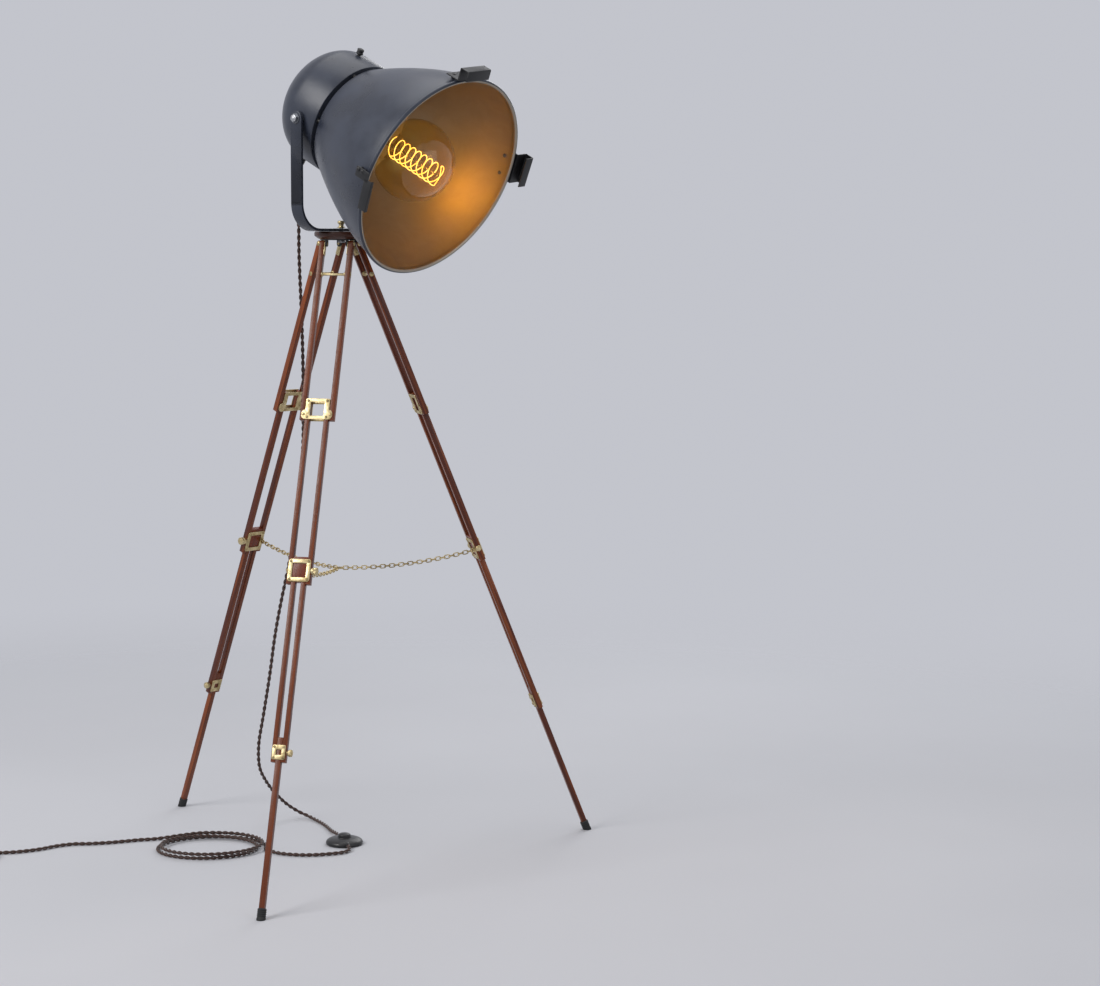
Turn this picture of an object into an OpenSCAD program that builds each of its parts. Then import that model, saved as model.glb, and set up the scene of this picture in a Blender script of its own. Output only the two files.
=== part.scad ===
// Tripod spotlight floor lamp: a film-light head on a yoke, over a three-section wooden tripod.
// Millimetres, +Z up, front towards -Y. The origin is the middle of the footprint, on the floor.
$fn = 64;

/* [Tripod] */
// Height of the leg hinges above the floor
hinge_z = 1196.5; // [1190:0.5:1200]
// Distance of each leg hinge from the crown's axis
hinge_radius = 28; // [27:0.5:29]
// Distance of each foot from the crown's axis
foot_radius = 508.7; // [490:0.1:520]
// Direction of the left leg, seen from above
left_azimuth = 132.85; // [130:0.05:135]
// Direction of the front leg
front_azimuth = -107.15; // [-110:0.05:-105]
// Direction of the right leg
right_azimuth = 12.85; // [10:0.05:15]
// Diameter of the hinge pins
hinge_pin_d = 5; // [4:0.5:5]

/* [Leg bars] */
// Depth of the bars, front to back
bar_depth = 11.6; // [11:0.1:12.5]
// Width of one upper bar
upper_w = 10; // [9:0.1:10.5]
// Distance between the centres of the two upper bars
upper_pitch = 57.2; // [57:0.1:58]
// Lower end of the upper bars, measured down the leg from the hinge
upper_end = 357; // [354:1:360]
// Width of one middle bar
middle_w = 9; // [8:0.1:9]
// Distance between the centres of the two middle bars
middle_pitch = 37.4; // [37.3:0.05:37.6]
// Lower end of the middle bars
middle_end = 675; // [672:0.5:680]
// Width of one lower bar
lower_w = 8.6; // [8:0.1:8.6]
// Distance between the centres of the two lower bars
lower_pitch = 19.4; // [19.3:0.05:19.4]
// Upper end of the block that heads the lower bars
lower_top = 623; // [620:0.5:626]
// Lower end of the lower bars
lower_end = 1007; // [1004:0.5:1012]
// Width of the single bottom bar
bottom_w = 10.4; // [10:0.1:10.4]
// Upper end of the bottom bar
bottom_top = 961.5; // [958:0.5:964]
// Free side gap of the sliding sections
slide_gap = 0.2; // [0.15:0.05:0.3]

/* [Leg fittings] */
// Thickness of the brass plates
plate_t = 1.5; // [1.2:0.1:1.8]
// Centre of the open window fitting, down the leg
window_at = 335.7; // [334:0.1:337]
// Centre of the clamp fitting
clamp_at = 649; // [646:0.5:652]
// Centre of the collar on the lower bars
collar_at = 989; // [986:0.5:992]
// Side of the square windows in the two upper fittings
window = 27; // [24:0.5:27.5]
// Distance of the cross stay from the hinge
stay_at = 63; // [60:0.5:70]
// Diameter of the milled clamp nut
clamp_nut_d = 15; // [14:0.5:18]
// Diameter of the thumb screw's head
thumb_d = 13; // [11:0.5:14]
// Diameter of the rubber foot
foot_d = 17; // [15:0.5:18]
// Length of the rubber foot along the leg
foot_len = 20; // [18:1:26]

/* [Crown and yoke] */
// Diameter of the wooden crown
crown_d = 104; // [100:1:108]
// Height of the crown's top face
crown_top = 1219.8; // [1219:0.1:1221]
// Thickness of the wooden crown
crown_t = 14.4; // [13:0.1:14.4]
// Width of the yoke's flat bar
yoke_w = 28; // [26:1:30]
// Thickness of the yoke's flat bar
yoke_t = 5.5; // [5:0.1:6]
// Half of the free width between the yoke's arms
yoke_half = 118.5; // [118:0.1:120]
// Outer radius of the yoke's bends
yoke_bend = 52; // [45:1:60]
// Height of the tilt axis
trunnion_z = 1431.6; // [1430:0.1:1440]
// Diameter of the trunnion bolts and of the pan stud
bolt_d = 8; // [8:0.5:10]

/* [Head] */
// Direction in which the head looks, seen from above
aim_azimuth = -43; // [-60:1:-30]
// Angle of the head below the horizontal
aim_tilt = 27; // [20:1:28]
// Distance of the rim plane ahead of the tilt axis
rim_x = 277.6; // [275:0.1:279]
// Height of the optical axis above the tilt axis
axis_up = 15.5; // [14:0.5:17]
// Radius of the reflector shell behind its rolled rim
shell_rim_r = 196.8; // [194:0.1:197]
// Radius of the shell's neck
shell_neck_r = 115; // [113:0.5:115]
// Distance of the shell's back edge behind the rim plane
shell_depth = 227.6; // [225:0.1:229]
// Radius of the rolled rim bead
bead_r = 4; // [3:0.25:5]
// Thickness of the spun sheet
sheet_t = 1.5; // [1.2:0.1:2]
// Radius of the rear dome
dome_r = 115; // [114:0.1:115]
// Front edge of the dome, behind the rim plane
dome_front = 238.2; // [237:0.1:240]
// Place where the dome's straight wall ends
dome_bend = 300.8; // [297:0.1:302]
// Back of the dome
dome_back = 380.4; // [376:0.1:383]
// Length of each colour-frame clip along the rim
clip_len = 60; // [50:1:64]

/* [Bulb] */
// Radius of the glass globe
globe_r = 78; // [75:0.5:80]
// Centre of the globe, behind the rim plane
globe_at = 75; // [74:0.5:80]
// Turns of each of the filament's two strands
filament_turns = 4; // [2:0.5:5]
// Radius of the filament's spiral
filament_r = 20; // [16:0.5:22]

/* [Chain] */
// Length of a link over its ends
link_len = 14; // [13:0.5:16]
// Width of a link
link_w = 9; // [8:0.5:10]
// Diameter of the link's wire
link_wire = 2; // [1.8:0.1:2]
// Height of the ring that joins the three chains
ring_z = 563; // [560:1:570]

/* [Cord and foot switch] */
// Diameter of the twisted cord
cord_d = 7; // [6:0.5:7]
// Diameter of the foot switch
switch_d = 74; // [70:0.5:76]
// Turns of the loops that lie beside the front leg
loops_turns = 2.25; // [2.25, 3.25]
// Turns of the coil at the cord's end
coil_turns = 5; // [4:1:5]

/* [Hidden] */
LEGS = [["left", left_azimuth], ["front", front_azimuth], ["right", right_azimuth]];
LEG_PIECES = ["upper_bars", "brass", "middle_bars", "lower_bars", "lower_collar",
    "bottom_bar", "foot", "clamp_screw", "thumb_screw"];

// Where the crown's axis stands from the middle of the footprint
axis_x = -75.15;
axis_y = 56.68;

lean = atan((foot_radius - hinge_radius) / hinge_z);
leg_len = hinge_z / cos(lean);
upper_in = (upper_pitch - upper_w) / 2;
middle_in = (middle_pitch - middle_w) / 2;
middle_out = (middle_pitch + middle_w) / 2;
lower_out = (lower_pitch + lower_w) / 2;
lower_depth = bar_depth - 2 * slide_gap;
bottom_depth = lower_depth - 2 * slide_gap;
running = 0.05;

mahogany = "#7a2f17";
brass_colour = "#c9a24b";
slate = "#3c4048";
black_steel = "#18181a";

module on_axis() translate([axis_x, axis_y, 0]) children();

// Upright frame at a leg's hinge: X along the pin, Y outward
module at_hinge(azimuth)
    on_axis() rotate([0, 0, azimuth - 90]) translate([0, hinge_radius, hinge_z]) children();

// The same frame leaned with the leg, so that the leg runs down -Z
module on_leg(azimuth) at_hinge(azimuth) rotate([lean, 0, 0]) children();

// ---------------------------------------------------------------- leg bars
module bar(x, w, depth, top, bottom)
    translate([x - w / 2, -depth / 2, -bottom]) cube([w, depth, bottom - top]);

module cross_hole(r, at, from = -60, to = 60)
    translate([from, 0, -at]) rotate([0, 90, 0]) cylinder(r = r, h = to - from);

module through_hole(x, r, at)
    translate([x, 20, -at]) rotate([90, 0, 0]) cylinder(r = r, h = 40);

ear_r = 8.8;
ear_in = 6.9;
pin_x = upper_pitch / 2 - 2;
pin_at = window_at + 10.5;
pin_r = 2;

module upper_bars() color(mahogany)
    difference() {
        for (side = [-1, 1]) {
            bar(side * upper_pitch / 2, upper_w, bar_depth, 0, upper_end);
            translate([side * upper_pitch / 2 - upper_w / 2, 0, 0])
                rotate([0, 90, 0]) cylinder(d = bar_depth, h = upper_w);
        }
        cross_hole(hinge_pin_d / 2 + running, 0);
        cross_hole(2.5, stay_at);
        for (side = [-1, 1]) through_hole(side * pin_x, pin_r, pin_at);
    }

module middle_bars() color(mahogany)
    difference() {
        for (side = [-1, 1])
            bar(side * middle_pitch / 2, middle_w, bar_depth, window_at - 19.5, middle_end);
        cross_hole(3 + running, clamp_at, from = -40, to = 0);
        cross_hole(2, clamp_at, from = 0, to = 40);
    }

module lower_bars() color(mahogany)
    difference() {
        union() {
            for (side = [-1, 1])
                bar(side * lower_pitch / 2, lower_w, lower_depth, lower_top, lower_end);
            bar(0, 2 * lower_out, lower_depth, lower_top, clamp_at + 22);
        }
        cross_hole(2.5 + running, collar_at, from = -40, to = 0);
    }

module bottom_bar() color(mahogany)
    bar(0, bottom_w, bottom_depth, bottom_top, leg_len - foot_len + 10);

module foot(azimuth) color("#141414")
    difference() {
        on_leg(azimuth) difference() {
            translate([0, 0, -leg_len]) rotate_extrude()
                polygon([[0, -8], [foot_d / 2, -8], [foot_d / 2, 3], [foot_d / 2 - 0.6, 4],
                    [foot_d / 2 - 0.2, foot_len - 2], [foot_d / 2 - 1, foot_len], [0, foot_len]]);
            bar(0, bottom_w, bottom_depth, 0, leg_len - foot_len + 10);
        }
        translate([-1000, -1000, -50]) cube([2000, 2000, 50]);
    }

// ---------------------------------------------------------------- brass of a leg
module rounded_square(w, h, r)
    translate([-w / 2, -h / 2]) union() {
        translate([r, 0]) square([w - 2 * r, h]);
        translate([0, r]) square([w, h - 2 * r]);
        for (x = [r, w - r], y = [r, h - r]) translate([x, y]) circle(r = r);
    }

// A plate on the front and one on the back of the bars, from a flat outline centred on a fitting
module plates(at, depth, thickness)
    for (side = [-1, 1])
        translate([0, side * (depth + thickness) / 2, -at]) rotate([90, 0, 0])
            linear_extrude(thickness, center = true) children();

module pin_pair(x, at, depth)
    for (side = [-1, 1]) translate([side * x, 0, -at]) rotate([90, 0, 0]) {
        cylinder(r = pin_r, h = depth + 2 * plate_t + 2, center = true);
        for (end = [-1, 1]) translate([0, 0, end * (depth / 2 + plate_t + 0.6)])
            cylinder(r = 3.2, h = 1.2, center = true);
    }

module screw_heads(x, z, at, depth)
    for (sx = [-x, x], sz = [-z, z], side = [-1, 1])
        translate([sx, side * (depth / 2 + plate_t - 0.2), -at + sz]) rotate([-90 * side, 0, 0])
            rotate_extrude() polygon([[0, 0], [2.7, 0], [2.7, 0.5], [1.8, 1.1], [0, 1.3]]);

strap_t = 1.2;
strap_len = 24;

module hinge_straps()
    for (side = [-1, 1]) difference() {
        union() {
            translate([side * (upper_in - strap_t / 2), 0, -strap_len / 2])
                cube([strap_t, bar_depth - 1.6, strap_len], center = true);
            translate([side * (upper_in - strap_t / 2), 0, 0])
                rotate([0, 90, 0]) cylinder(d = bar_depth - 1.6, h = strap_t, center = true);
        }
        cross_hole(hinge_pin_d / 2 + running, 0);
    }

module stay() {
    cross_hole(2.5, stay_at, from = -upper_in - upper_w, to = upper_in + upper_w);
    for (side = [-1, 1]) translate([side * (upper_in - 1.5), 0, -stay_at])
        rotate([0, 90, 0]) cylinder(d = 10, h = 3, center = true);
}

module window_fitting() {
    plates(window_at, bar_depth, plate_t) difference() {
        union() {
            rounded_square(2 * middle_out + 0.6, 41, 2);
            for (side = [-1, 1])
                translate([side * (upper_pitch / 2 - ear_in), window_at - pin_at]) circle(r = ear_r);
        }
        square(window, center = true);
    }
    pin_pair(pin_x, pin_at, bar_depth);
    screw_heads(middle_pitch / 2, 16, window_at, bar_depth);
}

eye_x = 17;

module clamp_fitting() {
    plates(clamp_at, bar_depth, plate_t) difference() {
        rounded_square(43, 43, 5);
        square(window, center = true);
    }
    screw_heads(17, 17, clamp_at, bar_depth);
    // threaded boss under the milled nut, with the screw's bore
    difference() {
        cross_hole(7, clamp_at, from = -middle_out - 4, to = -middle_out);
        cross_hole(3 + running, clamp_at);
    }
    // domed rivet on the other side
    translate([middle_in, 0, -clamp_at]) rotate([0, 90, 0]) rotate_extrude()
        polygon([[0, 0], [2, 0], [2, middle_w], [6, middle_w], [5.6, middle_w + 1.4],
            [4, middle_w + 2.8], [2, middle_w + 3.5], [0, middle_w + 3.7]]);
    // eye for the chain
    translate([eye_x, -bar_depth / 2 - plate_t, -clamp_at]) rotate([0, 90, 0])
        linear_extrude(2.4, center = true) difference() {
            union() {
                translate([0, -5]) circle(r = 4.5);
                translate([-4.5, -5]) square([9, 5]);
            }
            translate([0, -5]) circle(r = 2.4);
        }
}

module brass() color(brass_colour) {
    hinge_straps();
    stay();
    window_fitting();
    clamp_fitting();
}

module lower_collar() color(brass_colour) {
    plates(collar_at, lower_depth, plate_t) difference() {
        rounded_square(25, 27, 3);
        square(10, center = true);
    }
    screw_heads(9, 10, collar_at, lower_depth);
    difference() {
        cross_hole(4.5, collar_at, from = -lower_out - 3, to = -lower_out);
        cross_hole(2.5 + running, collar_at);
    }
}

// Milled head with a ring of flutes, its shank along +X towards the leg
module milled_screw(head_d, head_h, shank_r, shank_end, head_at, flutes) {
    difference() {
        translate([-head_at - head_h, 0, 0]) rotate([0, 90, 0]) cylinder(d = head_d, h = head_h);
        for (i = [0:flutes - 1]) rotate([i * 360 / flutes, 0, 0])
            translate([-head_at - head_h - 1, 0, head_d / 2 + 0.3])
                rotate([0, 90, 0]) cylinder(r = 0.8, h = head_h + 2);
    }
    translate([-head_at - head_h + 1, 0, 0]) rotate([0, 90, 0])
        cylinder(r = shank_r, h = head_at + head_h - 1 - shank_end);
}

module clamp_screw() color(brass_colour) translate([0, 0, -clamp_at])
    milled_screw(clamp_nut_d, 6, 3, lower_out + 0.3, middle_out + 4.3, 20);

module thumb_screw() color(brass_colour) translate([0, 0, -collar_at])
    milled_screw(thumb_d, 6, 2.5, bottom_w / 2 + 0.3, lower_out + 3.3, 16);

// ---------------------------------------------------------------- crown
ear_t = 3;
ear_x = upper_in - strap_t - 0.4 - ear_t / 2;
plate_z = crown_top - crown_t;
bracket_t = 2.2;

module crown_disc() color(mahogany) on_axis()
    difference() {
        translate([0, 0, plate_z]) rotate_extrude()
            polygon([[0, 0], [crown_d / 2 - 8, 0], [crown_d / 2 - 1, 5], [crown_d / 2, 6.5],
                [crown_d / 2, crown_t - 2], [crown_d / 2 - 2, crown_t], [0, crown_t]]);
        translate([0, 0, plate_z - 1]) cylinder(d = bolt_d, h = crown_t + 2);
    }

module crown_bracket() color(black_steel) {
    on_axis() translate([0, 0, plate_z - bracket_t]) difference() {
        cylinder(r = 41, h = bracket_t);
        translate([0, 0, -1]) cylinder(d = bolt_d, h = bracket_t + 2);
    }
    for (leg = LEGS) at_hinge(leg[1]) for (side = [-1, 1])
        translate([side * ear_x, 0, 0]) rotate([90, 0, 90])
            linear_extrude(ear_t, center = true) difference() {
                union() {
                    intersection() {
                        circle(r = 6);
                        translate([-6, -6]) square([12, plate_z - bracket_t - hinge_z + 6]);
                    }
                    translate([-6, 0]) square([12, plate_z - bracket_t / 2 - hinge_z]);
                }
                circle(d = hinge_pin_d);
            }
}

module hinge_pins() color(brass_colour)
    for (leg = LEGS) at_hinge(leg[1]) for (side = [-90, 90]) rotate([0, side, 0]) {
        translate([0, 0, ear_x - ear_t / 2])
            cylinder(d = hinge_pin_d, h = upper_in + upper_w + 1 - ear_x + ear_t / 2);
        translate([0, 0, upper_in + upper_w + 0.4]) cylinder(d = 9, h = 1.6);
    }

module pan_stud() color("#b9bcc0") on_axis() {
    translate([0, 0, plate_z - bracket_t - 5]) cylinder(d = 15, h = 5, $fn = 6);
    translate([0, 0, plate_z - bracket_t - 1])
        cylinder(d = bolt_d, h = yoke_top + 10.5 - plate_z + bracket_t + 1);
}

yoke_bottom = crown_top + 0.3;
yoke_top = yoke_bottom + yoke_t;

module pan_knob() color(brass_colour) on_axis() translate([0, 0, yoke_top + 0.9])
    difference() {
        rotate_extrude() polygon([[0, 0], [8, 0], [8, 1.6], [4.8, 2.4], [4.8, 8], [7, 9],
            [7, 13], [6, 14], [0, 14]]);
        translate([0, 0, -1]) cylinder(d = bolt_d + 2 * running, h = 12.5);
    }

// ---------------------------------------------------------------- yoke
module in_yoke() on_axis() rotate([0, 0, aim_azimuth]) children();

module u_outline(half, bottom, bend)
    union() {
        translate([-half + bend, bottom]) square([2 * (half - bend), 300]);
        translate([-half, bottom + bend]) square([2 * half, 300]);
        for (side = [-1, 1]) translate([side * (half - bend), bottom + bend]) circle(r = bend);
    }

module yoke() color(slate) in_yoke()
    difference() {
        intersection() {
            rotate([90, 0, 90]) linear_extrude(yoke_w, center = true) difference() {
                u_outline(yoke_half + yoke_t, yoke_bottom, yoke_bend);
                u_outline(yoke_half, yoke_top, yoke_bend - yoke_t);
            }
            union() {
                translate([-yoke_w / 2, -200, crown_top - 1])
                    cube([yoke_w, 400, trunnion_z - crown_top + 1]);
                translate([0, 200, trunnion_z]) rotate([90, 0, 0]) cylinder(d = yoke_w, h = 400);
            }
        }
        translate([0, 200, trunnion_z]) rotate([90, 0, 0])
            cylinder(r = bolt_d / 2 + running, h = 400);
        translate([0, 0, crown_top - 5]) cylinder(r = bolt_d / 2 + running, h = 20);
    }

// ---------------------------------------------------------------- head
// Frame of the head: origin on the tilt axis, X along the aim, Y along the trunnion
module in_head() in_yoke() translate([0, 0, trunnion_z]) rotate([0, aim_tilt, 0]) children();

// A turned piece: its outline's first value is the radius, the second the depth behind the rim
module turned() in_head() translate([rim_x, 0, axis_up]) rotate([0, -90, 0])
    rotate_extrude() children();

module at_depth(depth) in_head() translate([rim_x - depth, 0, axis_up]) rotate([0, -90, 0])
    children();

shell_steps = 18;
shell_front = 2 * bead_r;
function shell_r(t) = shell_rim_r - (shell_rim_r - shell_neck_r) * pow(t, 1.47);
function shell_wall(inset) = [for (i = [0:shell_steps])
    [shell_r(i / shell_steps) - inset, shell_front + (shell_depth - shell_front) * i / shell_steps]];
function backwards(list) = [for (i = [len(list) - 1:-1:0]) list[i]];

module reflector_shell() color(slate)
    difference() {
        turned() {
            polygon(concat([[shell_rim_r, bead_r]], shell_wall(0), backwards(shell_wall(sheet_t)),
                [[shell_rim_r - sheet_t, bead_r]]));
            translate([shell_rim_r, bead_r]) circle(r = bead_r);
        }
        rivet_bores(rivet_r);
    }

dome_steps = 14;
function dome_wall(inset) = concat([[dome_r - inset, dome_front + inset]],
    [for (i = [0:dome_steps]) let(a = 90 * i / dome_steps)
        [(dome_r - inset) * cos(a), dome_bend + (dome_back - dome_bend - inset) * sin(a)]]);
flange_in = 98;

module rear_dome() color(slate)
    difference() {
        turned() polygon(concat([[flange_in, dome_front]], dome_wall(0),
            backwards(dome_wall(sheet_t)), [[flange_in, dome_front + sheet_t]]));
        in_head() translate([0, 200, 0]) rotate([90, 0, 0]) cylinder(d = bolt_d, h = 400);
        in_head() translate([gland_x, 0, -150]) cylinder(d = gland_d, h = 100);
        in_head() translate([knob_x, 0, 80]) cylinder(d = knob_stem_d, h = 80);
    }

holder_r = 21;
plate_back = shell_depth - 2;

module back_plate() color("#9a9b9a")
    difference() {
        at_depth(plate_back - 2) cylinder(r = shell_r(0.995) - sheet_t - 0.2, h = 2);
        at_depth(plate_back - 5) cylinder(r = holder_r, h = 10);
        for (i = [0:11]) at_depth(plate_back - 5) rotate([0, 0, i * 30 + 15])
            translate([70, 0, 0]) cylinder(r = 6, h = 10);
    }

spacer_ring = 106.5;

module vent_spacers() color(black_steel)
    for (i = [0:5]) at_depth(plate_back) rotate([0, 0, i * 60 + 30]) translate([spacer_ring, 0, 0])
        cylinder(d = 9, h = dome_front - plate_back);

module lampholder() color("#e8e4da") turned()
    polygon([[14, 188], [holder_r - 2, 188], [holder_r, 190], [holder_r, plate_back - 6],
        [30, plate_back - 5], [30, plate_back - 2], [holder_r, plate_back - 2],
        [holder_r, 246], [17, 250], [5, 250], [5, 222], [14, 222]]);

neck_angle = 26;
neck_r = 16;
globe_steps = 20;
// Globe, then a neck that narrows to the cap by a cosine
function bulb_wall(inset) = concat(
    [for (i = [0:globe_steps]) let(a = 180 - (180 - neck_angle) * i / globe_steps)
        [(globe_r - inset) * sin(a), globe_at + (globe_r - inset) * cos(a)]],
    [for (i = [1:8]) let(t = i / 8, start = globe_r * sin(neck_angle))
        [neck_r - inset + (start - neck_r) * (1 + cos(180 * pow(t, 0.72))) / 2,
         globe_at + globe_r * cos(neck_angle) + t * (187.6 - globe_at - globe_r * cos(neck_angle))]]);

module bulb_glass() color("#c98a2b", 0.5) turned()
    polygon(concat(bulb_wall(0), backwards(bulb_wall(1))));

module bulb_cap() color("#b9bcc0") turned()
    polygon(concat([[0, 187.6], [15.5, 187.6]],
        [for (i = [0:12]) [13.2 + (i % 2 == 0 ? 0 : -0.9), 188 + i * 1.9]],
        [[13.2, 212], [5, 216], [4.5, 218], [0, 218]]));

filament_rings = 16;
filament_from = 10;
filament_len = 124;
// Two strands of one wire, half a turn apart, joined across the front end
filament_path = let(n = filament_turns * filament_rings, pitch = filament_len / n)
    concat(
        [for (i = [n:-1:0]) let(a = i * 360 / filament_rings)
            [filament_r * cos(a), filament_r * sin(a), filament_from + i * pitch]],
        [[0, 0, filament_from - 5]],
        [for (i = [0:n]) let(a = 180 + i * 360 / filament_rings)
            [filament_r * cos(a), filament_r * sin(a), filament_from + i * pitch]]);

module bulb_filament() color("#ffb52e") in_head()
    translate([rim_x, 0, axis_up]) rotate([0, -90, 0]) tube(filament_path, 1.1, 6);

// Far and upper clips are channels, the near one a low strip
channel_angles = [7, 98];
strip_angle = 190;
clip_t = 2;
clip_foot = 30;
clip_stand = 26;
clip_reach = 21;
clip_lip = 20;
clip_low = shell_rim_r + bead_r + 0.3;
strip_reach = 16;
strip_lip = 4;
strip_foot = 28;
rivet_r = 2;
// Each rivet: its clip's angle, its place behind the rim, and its place along the rim
rivets = concat([for (angle = channel_angles, z = [-18, 18]) [angle, 22, z]],
    [for (depth = [13, 23]) [strip_angle, depth, -38]]);

// Frame on the rim: X forward, Y outward, Z along the rim
module at_rim(angle) in_head() translate([rim_x, 0, axis_up]) rotate([angle, 0, 0]) children();
module at_rivet(rivet) at_rim(rivet[0]) translate([-rivet[1], 0, rivet[2]]) rotate([-90, 0, 0])
    children();
// Distance of the shell's outer face from the axis, along a rivet
function wall_at(rivet) = sqrt(
    pow(shell_r((rivet[1] - shell_front) / (shell_depth - shell_front)), 2) - pow(rivet[2], 2));

module rivet_bores(r)
    for (rivet = rivets) at_rivet(rivet) translate([0, 0, 180]) cylinder(r = r, h = 22);

// Channels open towards the axis, for a colour frame, on feet that are riveted over the bead
module frame_clips() color(black_steel) {
    for (angle = channel_angles) at_rim(angle)
        linear_extrude(clip_len, center = true) translate([0, clip_low]) polygon([
            [-clip_foot, 0], [clip_t, 0], [clip_t, clip_stand - clip_t],
            [clip_reach - clip_t, clip_stand - clip_t], [clip_reach - clip_t, clip_stand - clip_lip],
            [clip_reach, clip_stand - clip_lip], [clip_reach, clip_stand], [0, clip_stand],
            [0, clip_t], [-clip_foot, clip_t]]);
    at_rim(strip_angle) {
        linear_extrude(clip_len, center = true) translate([0, clip_low]) polygon([
            [-4, 0], [strip_reach - clip_t, 0], [strip_reach - clip_t, -strip_lip],
            [strip_reach, -strip_lip], [strip_reach, clip_t], [-4, clip_t]]);
        translate([-strip_foot, clip_low, -clip_len / 2 - 14]) cube([strip_foot + 6, clip_t, 20]);
    }
    // each rivet: shank, head inside the shell, distance sleeve, and head on the foot
    for (rivet = rivets) at_rivet(rivet) {
        wall = wall_at(rivet);
        translate([0, 0, wall - 4]) cylinder(r = rivet_r, h = clip_low - wall + 4.5);
        translate([0, 0, wall - sheet_t - 3.2]) cylinder(r = 3.6, h = 1.6);
        translate([0, 0, wall + 0.8]) cylinder(r = 3.6, h = clip_low - wall - 0.6);
        translate([0, 0, clip_low + clip_t - 0.2]) cylinder(r1 = 4.2, r2 = 2.6, h = 1.8);
    }
}

washer_r = 12;
bolt_head = 15;

module along_trunnion(r, from, to, sides = $fn)
    translate([0, from, 0]) rotate([-90, 0, 0]) cylinder(r = r, h = to - from, $fn = sides);

// On each side: bolt, outer washer, packing washer seated on the dome, and the nut inside
module trunnion_bolts() color("#55585c")
    for (side = [0, 180]) {
        outer = yoke_half + yoke_t;
        in_head() rotate([0, 0, side]) {
            along_trunnion(bolt_d / 2, 98, outer + 2);
            along_trunnion(bolt_head / 2, outer + 1.9, outer + 7, 6);
            along_trunnion(10, outer + 0.3, outer + 1.9);
            along_trunnion(bolt_head / 2, 102, 110.3, 6);
        }
        difference() {
            in_head() rotate([0, 0, side]) along_trunnion(washer_r, 108, yoke_half - 0.3);
            at_depth(dome_front) cylinder(r = dome_r, h = dome_bend - dome_front);
        }
    }

gland_x = -57;
gland_d = 12;
gland_in = 80;
gland_seat = 94;
gland_end = 120;

module cord_gland() color(black_steel) in_head() translate([gland_x, 0, 0]) rotate([180, 0, 0]) {
    translate([0, 0, gland_in]) cylinder(d = gland_d, h = gland_seat - gland_in);
    translate([0, 0, gland_seat]) cylinder(d = 20, h = 6, $fn = 6);
    translate([0, 0, gland_seat + 6]) cylinder(r1 = 7.5, r2 = 5, h = gland_end - gland_seat - 6);
}

knob_x = -12;
knob_stem_d = 7;

module dome_knob() color(black_steel) in_head() translate([knob_x, 0, axis_up]) {
    translate([0, 0, 106]) cylinder(d = knob_stem_d, h = 14);
    translate([0, 0, dome_r + 3]) rotate_extrude()
        polygon([[0, 0], [6, 0], [7, 1], [7, 8.5], [6, 10], [3, 11], [0, 11]]);
}

// ---------------------------------------------------------------- tubes along a route
function unit(v) = v / norm(v);
function heading(p, i) = unit(p[min(i + 1, len(p) - 1)] - p[max(i - 1, 0)]);
function flat_side(v) = abs(v[2]) < 0.9 ? unit(cross(v, [0, 0, 1])) : unit(cross(v, [1, 0, 0]));
function drop_along(u, v) = unit(u - (u * v) * v);

module tube(path, r, sides) {
    n = len(path);
    rings = [for (i = 0, u = flat_side(heading(path, 0)); i < n; i = i + 1,
            u = i < n ? drop_along(u, heading(path, i)) : u)
        let(v = cross(heading(path, i), u))
            for (k = [0:sides - 1]) path[i] + r * (cos(k * 360 / sides) * u + sin(k * 360 / sides) * v)];
    skin = [for (i = [0:n - 2], k = [0:sides - 1])
        let(a = i * sides + k, b = i * sides + (k + 1) % sides)
            for (f = [[a, a + sides, b], [b, a + sides, b + sides]]) f];
    first = [for (k = [1:sides - 2]) [0, k, k + 1]];
    last = [for (k = [1:sides - 2]) [(n - 1) * sides, (n - 1) * sides + k + 1, (n - 1) * sides + k]];
    polyhedron(points = rings, faces = concat(skin, first, last));
}

// Smooth curve through hand-chosen points
function spline(p, steps) = concat(
    [for (i = [0:len(p) - 2], k = [0:steps - 1])
        let(a = p[max(i - 1, 0)], b = p[i], c = p[i + 1], d = p[min(i + 2, len(p) - 1)], t = k / steps)
            b + 0.5 * t * ((c - a) + t * ((2 * a - 5 * b + 4 * c - d) + t * (3 * (b - c) + d - a)))],
    [p[len(p) - 1]]);

// ---------------------------------------------------------------- chain
ring_r = 9;
ring_wire = 2.4;
link_pitch = link_len - 2 * link_wire - 0.2;
chain_sag = 9;

module link() {
    straight = link_len - link_w;
    for (side = [-1, 1]) {
        translate([side * straight / 2, 0, 0]) rotate([0, 0, side > 0 ? -90 : 90])
            rotate_extrude(angle = 180) translate([(link_w - link_wire) / 2, 0]) circle(d = link_wire, $fn = 24);
        translate([0, side * (link_w - link_wire) / 2, 0]) rotate([0, 90, 0])
            cylinder(d = link_wire, h = straight, center = true, $fn = 24);
    }
}

function eye_point(azimuth) = let(out = hinge_radius + clamp_at * sin(lean)
        - (bar_depth / 2 + plate_t + 5) * cos(lean),
        z = hinge_z - clamp_at * cos(lean) - (bar_depth / 2 + plate_t + 5) * sin(lean),
        side = eye_x)
    [out * cos(azimuth) + side * sin(azimuth), out * sin(azimuth) - side * cos(azimuth), z];
ring_at = [-8, 0, ring_z];

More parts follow.
